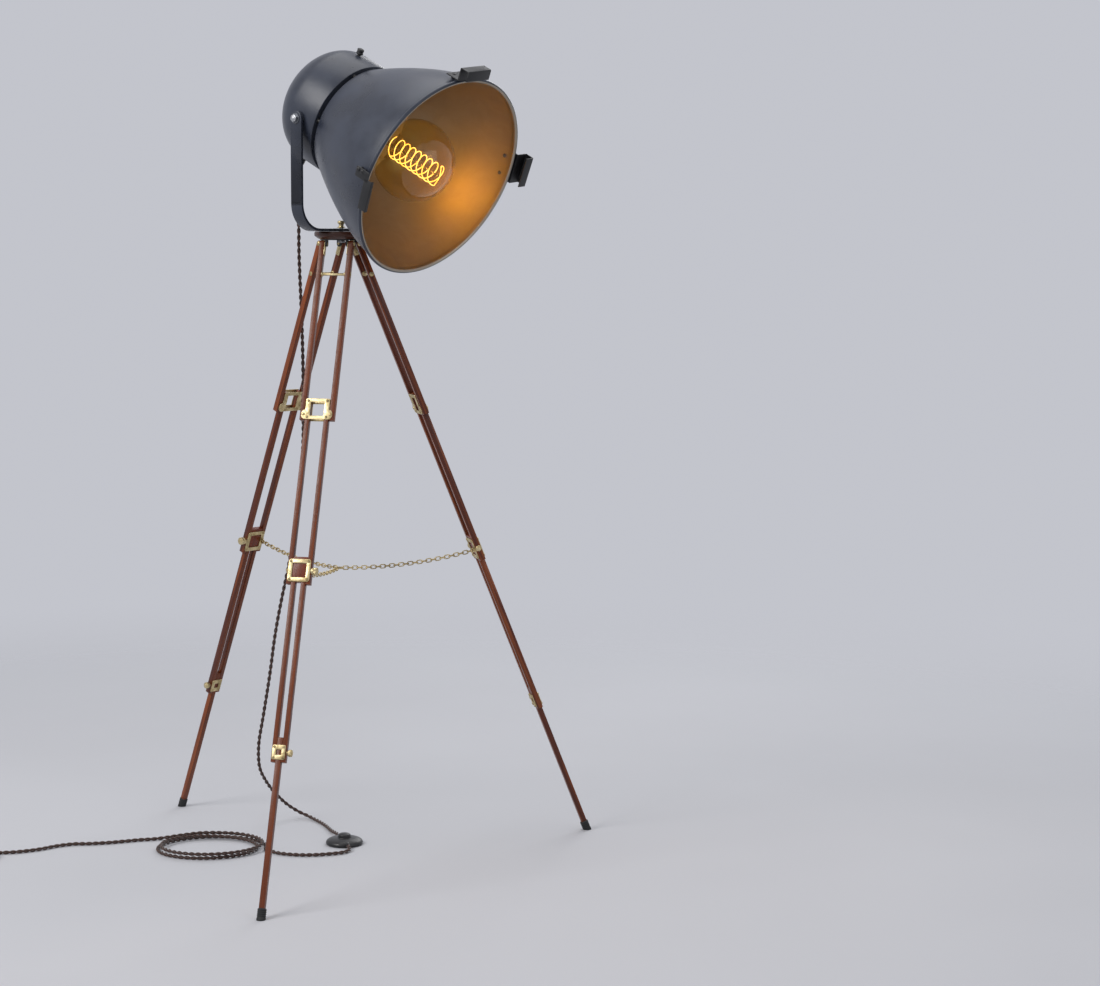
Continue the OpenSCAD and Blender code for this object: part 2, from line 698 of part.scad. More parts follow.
// The first link hangs in the leg's eye and the last hooks round the ring, so their number is even
module chain(azimuth) color(brass_colour) on_axis() {
    eye = eye_point(azimuth);
    level = [ring_at[0] - eye[0], ring_at[1] - eye[1]];
    span = ring_at - concat(level / norm(level) * ring_r, [0]) - eye;
    long = norm(span);
    first = 5;
    last = long - (link_len - link_wire - ring_wire - link_wire) / 2 + 0.1;
    n = 2 * ceil(((last - first) / link_pitch + 1) / 2);
    for (i = [0:n - 1]) {
        t = (first + (last - first) * i / (n - 1)) / long;
        slope = span - [0, 0, chain_sag * 4 * (1 - 2 * t)];
        translate(eye + t * span - [0, 0, chain_sag * 4 * t * (1 - t)])
            rotate([0, -asin(slope[2] / norm(slope)), atan2(slope[1], slope[0])])
                rotate([i % 2 == 0 ? 0 : 90, 0, 0]) link();
    }
}

module chain_ring() color(brass_colour) on_axis() translate(ring_at)
    rotate_extrude() translate([ring_r, 0]) circle(d = ring_wire);

// ---------------------------------------------------------------- cord and foot switch
switch_at = [-1, 32];
port_z = 6.5;
port_r = 42;
port_in = 105;
port_out = -80;
lay = cord_d / 2 + 0.1;

// A point of the head's middle plane, from its place along the aim and above the tilt axis
function head_point(x, z) =
    let(level = x * cos(aim_tilt) + z * sin(aim_tilt))
    [level * cos(aim_azimuth), level * sin(aim_azimuth),
     trunnion_z - x * sin(aim_tilt) + z * cos(aim_tilt)];
function port(angle, r) = [switch_at[0] + r * cos(angle), switch_at[1] + r * sin(angle), port_z];

top_route = [head_point(gland_x, -gland_end - 0.02), head_point(gland_x, -gland_end - 12),
    [-83, 76, 1310], [-84, 75, 1290], [-83, 73, 1265], [-83, 73, 1245], [-83, 73, 1230]];
drop_route = [[-83, 73, 1230], [-83, 73, 1210], [-83, 73, 1180], [-82, 74, 1140], [-80, 75, 1085],
    [-78, 78, 1015], [-77, 80, 947], [-77, 82, 860], [-80, 84, 768], [-92, 86, 650],
    [-108, 90, 560], [-125, 102, 480], [-138, 113, 410], [-150, 126, 325], [-164, 142, 240],
    [-174, 156, 180], [-174, 172, 130], [-163, 192, 96], [-146, 212, 66], [-122, 232, 36],
    [-97, 243, 16], [-74, 237, 6.2], [-55, 208, lay], [-40, 170, lay], [-28, 125, lay + 0.8],
    port(port_in, 62), port(port_in, 48), port(port_in, port_r)];
lead_route = [port(port_out, port_r), port(port_out, 48), [9, -30, lay + 0.8], [-2, -46, lay],
    [-30, -57, lay], [-64, -62, lay], [-98, -58, lay], [-128, -44, lay], [-148, -24, lay],
    [-156, -12, lay], [-156, 8 - cord_d, lay]];

loops_at = [-267, 8];
loops_size = [111, 90];
loops_rings = 24;
loops_in = 0.16;
loops_back = 1.2;

// Flat loops that spiral in on the floor, climb a layer, and spiral out again on top
function loops_point(turn) =
    let(inward = turn < loops_back ? turn : 2 * loops_back - turn,
        shrink = 1 - loops_in * inward,
        climb = min(max((turn - loops_back + 0.25) / 0.5, 0), 1))
    [loops_at[0] + loops_size[0] * shrink * cos(360 * turn),
     loops_at[1] + loops_size[1] * shrink * sin(360 * turn),
     lay + (cord_d + 0.8) * climb];
loops_path = concat([loops_point(0) - [0, cord_d, 0]],
    [for (i = [0:round(loops_turns * loops_rings)]) loops_point(i / loops_rings)],
    [loops_point(loops_turns) - [cord_d, 0, 0]]);
loops_end = loops_path[len(loops_path) - 1];

coil_at = [-715, -37];
tail_route = [loops_end, loops_end - [12, 0, 0], [-310, 94, 10], [-342, 90, 7], [-375, 85, 4],
    [-415, 78, lay], [-462, 64, lay], [-505, 57, lay], [-540, 56, lay], [-572, 42, lay],
    [-602, 20, lay], [-640, 4, lay], [-675, -1, lay], [-695, -1, lay], [coil_at[0] + cord_d, -1, lay]];

coil_r = 36;
coil_step = 7.8;
coil_climb = cord_d + 0.8;
// Flat spiral in, a climb of one layer, and a spiral out on top
function coil_point(turn) =
    let(half = coil_turns / 2,
        r = coil_r - coil_step * (turn < half ? turn : coil_turns - turn),
        climb = min(max((turn - half + 0.25) / 0.5, 0), 1))
    [coil_at[0] + r * cos(90 + 360 * turn), coil_at[1] + r * sin(90 + 360 * turn), lay + coil_climb * climb];
coil_rings = 24;
coil_path = concat([coil_point(0) + [cord_d, 0, 0]],
    [for (i = [0:round(coil_turns * coil_rings)]) coil_point(i / coil_rings)],
    [coil_point(coil_turns) - [30, 0, 0]]);
coil_end = coil_path[len(coil_path) - 1];

function gap_from(path, i, skip) = min([for (j = [i + skip:len(path) - 1]) norm(path[j] - path[i])]);
function least_gap(path, skip) = min([for (i = [0:len(path) - 1 - skip]) gap_from(path, i, skip)]) - cord_d;
echo(loops_gap = least_gap(loops_path, 6), coil_gap = least_gap(coil_path, 6));

module cord(path, sides) color("#241a17") on_axis() tube(path, cord_d / 2, sides);

module cord_top() cord(spline(top_route, 1), 8);
module cord_drop() cord(spline(drop_route, 2), 8);
module cord_lead() cord(spline(lead_route, 1), 8);
module cord_tail() cord(spline(tail_route, 1), 8);
module cord_loops() cord(loops_path, 6);
module cord_coil() cord(coil_path, 6);

button_r = 12.5;
switch_h = 14.5;
button_travel = 4;
well_z = 2;

module at_switch() on_axis() translate(concat(switch_at, [0])) children();

module switch_base() color("#151515") at_switch()
    difference() {
        union() {
            for (angle = [port_in, port_out]) rotate([0, 0, angle])
                translate([25, 0, port_z]) rotate([0, 90, 0]) cylinder(r = 4.8, h = port_r - 25);
            rotate_extrude() polygon(concat([[0, 0], [switch_d / 2 - 1, 0]],
                [for (a = [0:9:90]) [button_r + 2 + (switch_d / 2 - button_r - 2) * cos(a),
                    4 + (switch_h - 4) * sin(a)]], [[0, switch_h]]));
        }
        translate([0, 0, well_z]) cylinder(r = button_r + 0.3, h = 30);
    }

module switch_button() color("#1c1c1c") at_switch()
    translate([0, 0, well_z + button_travel + 0.3])
        rotate_extrude() polygon(concat([[0, 0], [button_r, 0], [button_r, 12.5]],
            [for (a = [15:15:75]) [button_r * cos(a), 12.5 + 4 * sin(a)]], [[0, 16.5]]));

// Flat moulded plug that lies beyond the coil, with three round pins in a row
plug_w = 30;
plug_len = 34;
relief_len = 24;
pin_gap = 9.5;
pin_len = 19;

module plug() color("#151515") on_axis() translate(coil_end) rotate([0, -90, 0]) {
    cylinder(r1 = 4.5, r2 = 8, h = relief_len + 1);
    translate([0, 0, relief_len]) linear_extrude(plug_len)
        rounded_square(2 * coil_end[2], plug_w, 6);
    for (i = [-1:1]) translate([0, i * pin_gap, relief_len + plug_len - 1])
        cylinder(d = 4, h = pin_len + 1);
}

for (leg = LEGS) {
    name = leg[0];
    azimuth = leg[1];
    on_leg(azimuth) upper_bars();
    on_leg(azimuth) brass();
    on_leg(azimuth) middle_bars();
    on_leg(azimuth) lower_bars();
    on_leg(azimuth) lower_collar();
    on_leg(azimuth) bottom_bar();
    foot(azimuth);
    on_leg(azimuth) clamp_screw();
    on_leg(azimuth) thumb_screw();
    chain(azimuth);
}
crown_disc();
crown_bracket();
hinge_pins();
pan_stud();
pan_knob();
yoke();
reflector_shell();
rear_dome();
back_plate();
vent_spacers();
lampholder();
bulb_glass();
bulb_cap();
bulb_filament();
frame_clips();
trunnion_bolts();
cord_gland();
dome_knob();
chain_ring();
cord_top();
cord_drop();
switch_base();
switch_button();
cord_lead();
cord_loops();
cord_tail();
cord_coil();
plug();
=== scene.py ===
import math
from types import SimpleNamespace as Sizes
import bmesh
import bpy
from mathutils import Matrix, Vector


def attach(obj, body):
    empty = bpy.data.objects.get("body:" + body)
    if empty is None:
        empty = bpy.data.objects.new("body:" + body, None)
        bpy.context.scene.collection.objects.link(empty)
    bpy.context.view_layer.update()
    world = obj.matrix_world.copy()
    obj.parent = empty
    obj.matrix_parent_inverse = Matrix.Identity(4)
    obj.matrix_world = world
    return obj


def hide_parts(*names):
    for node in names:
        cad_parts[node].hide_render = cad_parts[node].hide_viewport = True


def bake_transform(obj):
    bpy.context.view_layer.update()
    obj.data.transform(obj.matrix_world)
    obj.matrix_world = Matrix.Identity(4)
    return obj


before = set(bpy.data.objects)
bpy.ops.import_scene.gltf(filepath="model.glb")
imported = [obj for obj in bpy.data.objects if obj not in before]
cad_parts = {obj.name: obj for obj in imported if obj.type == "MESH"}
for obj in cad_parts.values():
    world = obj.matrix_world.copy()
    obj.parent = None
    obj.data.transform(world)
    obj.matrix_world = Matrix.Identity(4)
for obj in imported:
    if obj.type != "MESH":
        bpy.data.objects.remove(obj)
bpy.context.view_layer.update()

# Lengths are in millimetres, apart from the cord's points and the camera, which are in metres.
# Each piece is modelled in millimetres in its own frame, and its place turns that into metres.
# A leg's number is its azimuth in degrees, seen from above.
tripod = Sizes(axis=(-0.07515, 0.05668), hingeHeight=1196.5, hingeRadius=28, footRadius=508.7,
               legs={"left": 132.85, "front": -107.15, "right": 12.85})
head = Sizes(height=1431.6, azimuth=-43, tilt=27, rimAhead=277.6, axisAbove=15.5)

bothSides = (-1, 1)
toMetres = Matrix.Scale(0.001, 4)
towerPlace = Matrix.Translation((*tripod.axis, 0))
lean = math.atan((tripod.footRadius - tripod.hingeRadius) / tripod.hingeHeight)
legLength = tripod.hingeHeight / math.cos(lean)


def turn(degrees, axis):
    return Matrix.Rotation(math.radians(degrees), 4, axis)


def move(x=0, y=0, z=0):
    return Matrix.Translation((x, y, z))


def hingePlace(azimuth):  # upright at the hinge: X along the pin, Y outward
    return towerPlace @ toMetres @ turn(azimuth - 90, "Z") @ move(y=tripod.hingeRadius, z=tripod.hingeHeight)


def legPlace(azimuth):  # the leg runs down -Z
    return hingePlace(azimuth) @ turn(math.degrees(lean), "X")


crownPlace = towerPlace @ toMetres
yokePlace = crownPlace @ turn(head.azimuth, "Z")
headPlace = yokePlace @ move(z=head.height) @ turn(head.tilt, "Y")  # X forward, Y along the trunnion
rimPlace = headPlace @ move(head.rimAhead, 0, head.axisAbove)
turnedPlace = rimPlace @ turn(-90, "Y")  # Z is the depth behind the rim

# The photograph's camera, solved from the feet and the hinges
camera = Sizes(place=(-0.07515, -4.59802, 1.2276), pan=4.9987, pitch=6.3412, roll=0.21, focal=2383, width=1100,
               sensor=36, near=0.1, far=60)


def makeCamera():
    data = bpy.data.cameras.new("photoCamera")
    data.sensor_width = camera.sensor
    data.lens = camera.focal / camera.width * camera.sensor
    data.clip_start, data.clip_end = camera.near, camera.far
    made = bpy.data.objects.new("photoCamera", data)
    bpy.context.scene.collection.objects.link(made)
    made.matrix_world = (Matrix.Translation(camera.place) @ turn(-camera.pan, "Z")
                         @ turn(90 - camera.pitch, "X") @ turn(camera.roll, "Z"))
    bpy.context.scene.camera = made


makeCamera()
print("camera made")


def feed(tree, socket, value):  # links a socket to another or sets its value; a colour gets its alpha
    if isinstance(value, bpy.types.NodeSocket):
        tree.links.new(value, socket)
    else:
        socket.default_value = (*value, 1) if socket.type == "RGBA" and len(value) == 3 else value


def put(tree, kind, settings=None, **sockets):  # a new node; i0, i1 and so on name its sockets by number
    node = tree.nodes.new("ShaderNode" + kind)
    for name, value in (settings or {}).items():
        setattr(node, name, value)
    for name, value in sockets.items():
        numbered = name[0] == "i" and name[1:].isdigit()
        feed(tree, node.inputs[int(name[1:]) if numbered else name.replace("_", " ")], value)
    return node


def makeGroup(name, inputs, outputs):  # inputs with their values, the first of them the place to look up
    group = bpy.data.node_groups.new(name, "ShaderNodeTree")
    for label, value in inputs.items():
        kind = "Float" if isinstance(value, float) else "Color" if len(value) == 4 else "Vector"
        group.interface.new_socket(label, in_out="INPUT", socket_type="NodeSocket" + kind).default_value = value
    for label in outputs:
        kind = "Color" if label == "Color" else "Float"
        group.interface.new_socket(label, in_out="OUTPUT", socket_type="NodeSocket" + kind)
    return group, group.nodes.new("NodeGroupInput").outputs, group.nodes.new("NodeGroupOutput").inputs


def doMath(tree, operation, first, second=0.0, clamp=False):
    return put(tree, "Math", {"operation": operation, "use_clamp": clamp}, i0=first, i1=second).outputs[0]


def times(tree, first, second, clamp=False):
    return doMath(tree, "MULTIPLY", first, second, clamp)


def plus(tree, first, second):
    return doMath(tree, "ADD", first, second)


def mapRange(tree, value, low, high, toLow=0.0, toHigh=1.0):
    return put(tree, "MapRange", {"interpolation_type": "SMOOTHSTEP"}, i0=value, i1=low, i2=high, i3=toLow,
               i4=toHigh).outputs[0]


def mixColour(tree, factor, first, second):
    return put(tree, "Mix", {"data_type": "RGBA"}, i0=factor, i6=first, i7=second).outputs[2]


def scaleColour(tree, colour, factor):
    return put(tree, "VectorMath", {"operation": "SCALE"}, i0=colour, Scale=factor).outputs[0]


def noise(tree, vector, scale, detail=3, roughness=0.5, distortion=0.0):
    return put(tree, "TexNoise", Vector=vector, Scale=scale, Detail=detail, Roughness=roughness,
               Distortion=distortion).outputs["Fac"]


def stretch(tree, vector, scale, turned=(0, 0, 0)):
    return put(tree, "Mapping", Vector=vector, Scale=scale, Rotation=turned).outputs[0]


def bump(tree, height, distance, strength):
    return put(tree, "Bump", Height=height, Distance=distance, Strength=strength).outputs[0]


def makeEdgeWear():  # where corners have rubbed, broken up by noise
    group, given, out = makeGroup("edgeWear", {"Vector": (0, 0, 0), "Width": 0.001, "Breakup": 0.4, "Amount": 0.7},
                                  ["Mask"])
    softened = put(group, "Bevel", {"samples": 4}, Radius=given["Width"]).outputs[0]
    plain = put(group, "NewGeometry").outputs["Normal"]
    facing = put(group, "VectorMath", {"operation": "DOT_PRODUCT"}, i0=softened, i1=plain).outputs["Value"]
    corner = mapRange(group, doMath(group, "SUBTRACT", 1.0, facing), 0.015, 0.16)
    patches = mapRange(group, noise(group, given["Vector"], given["Breakup"], 5, 0.65), 0.4, 0.62)
    feed(group, out["Mask"], times(group, times(group, corner, patches), given["Amount"], clamp=True))
    return group


def makeWoodGrain():  # grain runs along the third axis of the vector
    group, given, out = makeGroup("woodGrain", {"Vector": (0, 0, 0), "Pale": (0.5, 0.2, 0.08, 1),
                                                "Deep": (0.2, 0.05, 0.02, 1), "Fine": 1.0}, ["Color", "Height"])
    vector = given["Vector"]
    broad = noise(group, stretch(group, vector, (0.12, 0.12, 0.006)), 1.0, 4, 0.6, 0.6)
    bands = put(group, "TexWave", {"wave_type": "BANDS", "bands_direction": "X"},
                Vector=stretch(group, vector, (0.5, 0.35, 0.012)), Scale=0.42, Distortion=5.5, Detail=3.0,
                Detail_Scale=0.8, Detail_Roughness=0.62).outputs["Fac"]
    streaks = noise(group, stretch(group, vector, (1.7, 1.7, 0.05)), given["Fine"], 4, 0.6)
    figure = plus(group, times(group, bands, 0.45), times(group, streaks, 0.55))
    colour = mixColour(group, mapRange(group, figure, 0.22, 0.78), given["Deep"], given["Pale"])
    shaded = scaleColour(group, colour, mapRange(group, broad, 0.25, 0.75, 0.72, 1.14))
    pores = noise(group, stretch(group, vector, (3.4, 3.4, 0.09)), given["Fine"], 2, 0.5)
    pores = mapRange(group, pores, 0.60, 0.68)
    feed(group, out["Color"], mixColour(group, times(group, pores, 0.55), shaded, (0.05, 0.012, 0.006)))
    feed(group, out["Height"], doMath(group, "SUBTRACT", times(group, streaks, 0.35), pores))
    return group


def makeMetalMarks():  # hairline scratches and cloudy tarnish
    group, given, out = makeGroup("metalMarks", {"Vector": (0, 0, 0), "Hairline": 1.0, "Cloud": 0.05},
                                  ["Hairlines", "Clouds", "Specks"])
    vector = given["Vector"]
    across = noise(group, stretch(group, vector, (0.06, 2.6, 2.6), (0.3, 0.2, 0.5)), given["Hairline"], 3, 0.6)
    along = noise(group, stretch(group, vector, (2.8, 0.07, 2.4), (0.1, 0.6, 0.2)), given["Hairline"], 3, 0.6)
    feed(group, out["Hairlines"], times(group, plus(group, across, along), 0.5))
    feed(group, out["Clouds"], mapRange(group, noise(group, vector, given["Cloud"], 5, 0.62, 0.8), 0.36, 0.68))
    feed(group, out["Specks"], mapRange(group, noise(group, vector, 0.9, 2, 0.5), 0.66, 0.74))
    return group


def makeStipple():  # the small round lumps of a textured paint
    group, given, out = makeGroup("stipple", {"Vector": (0, 0, 0), "Grain": 0.6, "Wave": 0.02},
                                  ["Height", "PaintedGlints", "Clouds"])
    vector = given["Vector"]
    lumps = put(group, "TexVoronoi", {"feature": "SMOOTH_F1"}, Vector=vector, Scale=given["Grain"], Smoothness=0.6,
                Randomness=1.0).outputs["Distance"]
    fine = noise(group, vector, times(group, given["Grain"], 2.3), 2, 0.5)
    feed(group, out["Height"], plus(group, doMath(group, "SUBTRACT", 1.0, lumps), times(group, fine, 0.5)))
    # PaintedGlints: painted highlights, pale flecks where the fine noise lifts the lumps
    feed(group, out["PaintedGlints"], mapRange(group, fine, 0.58, 0.78))
    feed(group, out["Clouds"], noise(group, vector, given["Wave"], 4, 0.55))
    return group


def makeDust():  # settles on what faces up
    group, given, out = makeGroup("dust", {"Vector": (0, 0, 0), "Amount": 0.1, "Spread": 0.06}, ["Mask"])
    upward = put(group, "SeparateXYZ", i0=put(group, "NewGeometry").outputs["Normal"]).outputs[2]
    patches = mapRange(group, noise(group, given["Vector"], given["Spread"], 6, 0.7), 0.3, 0.75, 0.35, 1.0)
    settled = times(group, mapRange(group, upward, 0.25, 0.95), patches)
    feed(group, out["Mask"], times(group, settled, given["Amount"], clamp=True))
    return group


def makeBraid():  # U runs along a strand in metres, V once round it
    group, given, out = makeGroup("braid", {"UV": (0, 0, 0), "Stitch": 0.0016, "Around": 7.0},
                                  ["Threads", "Height", "Tracer"])
    parts = put(group, "SeparateXYZ", i0=given["UV"])
    along = doMath(group, "DIVIDE", parts.outputs[0], given["Stitch"])
    around = times(group, parts.outputs[1], given["Around"])
    ridges = []
    for way in ("ADD", "SUBTRACT"):
        angle = times(group, doMath(group, way, along, around), math.pi)
        ridges.append(doMath(group, "ABSOLUTE", doMath(group, "SINE", angle)))
    over = doMath(group, "MAXIMUM", ridges[0], ridges[1])
    feed(group, out["Threads"], mapRange(group, over, 0.25, 1.0))
    feed(group, out["Height"], over)
    slow = doMath(group, "SINE", times(group, plus(group, along, around), math.pi * 2 / 7))
    feed(group, out["Tracer"], mapRange(group, slow, 0.82, 0.95))
    return group


groups = {made.name: made for made in (makeEdgeWear(), makeWoodGrain(), makeMetalMarks(), makeStipple(), makeDust(),
                                       makeBraid())}
print("node groups:", ", ".join(groups))


def use(tree, name, place, **sockets):  # a node group, looked up at a place
    node = tree.nodes.new("ShaderNodeGroup")
    node.node_tree = groups[name]
    tree.links.new(place, node.inputs[0])
    for label, value in sockets.items():
        feed(tree, node.inputs[label], value)
    return node.outputs


def startMaterial(name):  # the third value: millimetres in the piece's own frame, kept on its points
    material = bpy.data.materials.new(name)
    material.use_nodes = True
    tree = material.node_tree
    tree.nodes.clear()
    return material, tree, put(tree, "Attribute", {"attribute_name": "pieceSpace"}).outputs["Vector"]


def endMaterial(material, tree, **sockets):
    shader = put(tree, "BsdfPrincipled", **sockets)
    tree.links.new(shader.outputs[0], put(tree, "OutputMaterial").inputs[0])
    return material


def shade(colour, factor):
    return tuple(c * factor for c in colour)


def makeVarnishedWood(name, pale, deep, dustAmount):
    material, tree, vector = startMaterial(name)
    grain = use(tree, "woodGrain", vector, Pale=pale, Deep=deep, Fine=1.0)
    wear = use(tree, "edgeWear", vector, Width=0.0011, Breakup=0.12, Amount=0.55)["Mask"]
    dust = use(tree, "dust", vector, Amount=dustAmount, Spread=0.05)["Mask"]
    worn = mixColour(tree, wear, grain["Color"], (0.40, 0.13, 0.035))
    rubbed = mapRange(tree, noise(tree, vector, 0.03, 4, 0.6), 0.3, 0.7, 0.26, 0.42)
    return endMaterial(material, tree, Base_Color=mixColour(tree, dust, worn, (0.45, 0.40, 0.35)),
                       Roughness=plus(tree, rubbed, times(tree, dust, 0.4)),
                       Normal=bump(tree, grain["Height"], 0.0003, 0.35),
                       Coat_Weight=0.16, Coat_Roughness=0.18, Coat_IOR=1.45, IOR=1.38)


def makeBrass(name, bright, dull, rough):
    material, tree, vector = startMaterial(name)
    marks = use(tree, "metalMarks", vector, Hairline=1.0, Cloud=0.045)
    wear = use(tree, "edgeWear", vector, Width=0.0008, Breakup=0.35, Amount=0.6)["Mask"]
    cloudy = mixColour(tree, times(tree, marks["Clouds"], 0.85), bright, dull)
    specked = mixColour(tree, times(tree, marks["Specks"], 0.5), cloudy, (0.20, 0.12, 0.05))
    base = mapRange(tree, marks["Clouds"], 0.0, 1.0, rough, rough + 0.18)
    return endMaterial(material, tree, Base_Color=mixColour(tree, wear, specked, (0.90, 0.80, 0.54)),
                       Roughness=plus(tree, base, times(tree, marks["Hairlines"], 0.12)),
                       Normal=bump(tree, marks["Hairlines"], 0.00008, 0.35), Metallic=1.0)


def makeTexturedPaint(name, colour, pale, grain, rough, lumps, worn, lights):
    material, tree, vector = startMaterial(name)
    skin = use(tree, "stipple", vector, Grain=grain, Wave=0.012)
    wear = use(tree, "edgeWear", vector, Width=0.0014, Breakup=0.11, Amount=0.75)["Mask"]
    dust = use(tree, "dust", vector, Amount=0.05, Spread=0.03)["Mask"]
    cloudy = mixColour(tree, mapRange(tree, skin["Clouds"], 0.35, 0.65), colour, pale)
    # Painted highlights: a pale blue-grey mixed in, by the lights amount, on the raised flecks
    lit = mixColour(tree, times(tree, skin["PaintedGlints"], lights), cloudy, (0.30, 0.32, 0.37))
    rubbed = mixColour(tree, wear, lit, worn)
    base = mapRange(tree, skin["Clouds"], 0.3, 0.7, rough - 0.05, rough + 0.09)
    return endMaterial(material, tree, Base_Color=mixColour(tree, dust, rubbed, (0.36, 0.36, 0.38)),
                       Metallic=times(tree, wear, 0.7), Roughness=plus(tree, base, times(tree, dust, 0.3)),
                       Normal=bump(tree, skin["Height"], lumps, 0.6), IOR=1.5)


def makeSatinAluminium(name, colour, rough):
    material, tree, vector = startMaterial(name)
    marks = use(tree, "metalMarks", vector, Hairline=0.7, Cloud=0.02)
    rings = put(tree, "TexWave", {"wave_type": "RINGS", "rings_direction": "Z"}, Vector=vector, Scale=0.35,
                Distortion=0.6, Detail=2.0, Detail_Scale=0.3).outputs["Fac"]
    cloudy = mixColour(tree, times(tree, marks["Clouds"], 0.35), colour, shade(colour, 0.8))
    spun = plus(tree, times(tree, rings, 0.7), times(tree, marks["Hairlines"], 0.3))
    specked = mixColour(tree, times(tree, marks["Specks"], 0.25), cloudy, (0.30, 0.29, 0.27))
    return endMaterial(material, tree, Base_Color=specked, Metallic=0.85, Normal=bump(tree, spun, 0.00006, 0.35),
                       Roughness=mapRange(tree, marks["Clouds"], 0.0, 1.0, rough, rough + 0.12))


def makePlainMetal(name, colour, dull, rough):
    material, tree, vector = startMaterial(name)
    marks = use(tree, "metalMarks", vector, Hairline=1.2, Cloud=0.08)
    base = mapRange(tree, marks["Clouds"], 0.0, 1.0, rough, rough + 0.2)
    return endMaterial(material, tree, Base_Color=mixColour(tree, times(tree, marks["Clouds"], 0.7), colour, dull),
                       Roughness=plus(tree, base, times(tree, marks["Hairlines"], 0.1)),
                       Normal=bump(tree, marks["Hairlines"], 0.00006, 0.35), Metallic=1.0)


def makeDarkPlastic(name, colour, rough, grain, lumps, dustAmount):
    material, tree, vector = startMaterial(name)
    skin = use(tree, "stipple", vector, Grain=grain, Wave=0.06)
    wear = use(tree, "edgeWear", vector, Width=0.001, Breakup=0.2, Amount=0.35)["Mask"]
    dust = use(tree, "dust", vector, Amount=dustAmount, Spread=0.08)["Mask"]
    scuffed = mixColour(tree, wear, colour, tuple(c + 0.07 for c in colour))
    return endMaterial(material, tree, Base_Color=mixColour(tree, dust, scuffed, (0.30, 0.29, 0.28)),
                       Roughness=mapRange(tree, skin["Clouds"], 0.3, 0.7, rough - 0.06, rough + 0.1),
                       Normal=bump(tree, skin["Height"], lumps, 0.5), IOR=1.48)


def makeGlazed(name, colour):
    material, tree, vector = startMaterial(name)
    clouds = noise(tree, vector, 0.08, 4, 0.6)
    tinted = mixColour(tree, mapRange(tree, clouds, 0.35, 0.7), colour, shade(colour, 0.86))
    return endMaterial(material, tree, Base_Color=tinted, Roughness=mapRange(tree, clouds, 0.3, 0.7, 0.22, 0.34),
                       Normal=bump(tree, clouds, 0.0003, 0.3), Coat_Weight=0.8, Coat_Roughness=0.06)


def makeAmberGlass(name, colour):  # paler towards the neck
    material, tree, vector = startMaterial(name)
    height = put(tree, "SeparateXYZ", i0=vector).outputs[2]
    clouds = noise(tree, vector, 0.02, 3, 0.5)
    tint = mapRange(tree, plus(tree, height, times(tree, clouds, 30)), 20, 190)
    return endMaterial(material, tree, Base_Color=mixColour(tree, tint, colour, shade(colour, 0.93)),
                       Roughness=mapRange(tree, clouds, 0.3, 0.7, 0.01, 0.04), Transmission_Weight=1.0, IOR=1.45)


def makeGlow(name, colour, hot, strength):
    material, tree, vector = startMaterial(name)
    patches = mapRange(tree, noise(tree, vector, 0.09, 2, 0.5), 0.35, 0.65)
    return endMaterial(material, tree, Base_Color=colour, Roughness=0.5, Emission_Strength=strength,
                       Emission_Color=mixColour(tree, patches, colour, hot))


def makeCordCloth(name, thread, gap, tracer):
    material, tree, _ = startMaterial(name)
    uv = put(tree, "UVMap", {"uv_map": "strand"}).outputs[0]
    weave = use(tree, "braid", uv, Stitch=0.0011, Around=8.0)
    fuzz = mapRange(tree, noise(tree, stretch(tree, uv, (900, 8, 1)), 1.0, 3, 0.6), 0.3, 0.75)
    # Painted shade: the near-black gap colour fills the holes between the threads
    threads = mixColour(tree, weave["Threads"], gap, mixColour(tree, fuzz, thread, shade(thread, 1.8)))
    marked = mixColour(tree, times(tree, weave["Tracer"], weave["Threads"]), threads, tracer)
    return endMaterial(material, tree, Base_Color=marked, Sheen_Weight=0.35, Sheen_Roughness=0.5, IOR=1.4,
                       Roughness=mapRange(tree, weave["Threads"], 0.0, 1.0, 0.95, 0.68),
                       Normal=bump(tree, weave["Height"], 0.00025, 0.8))


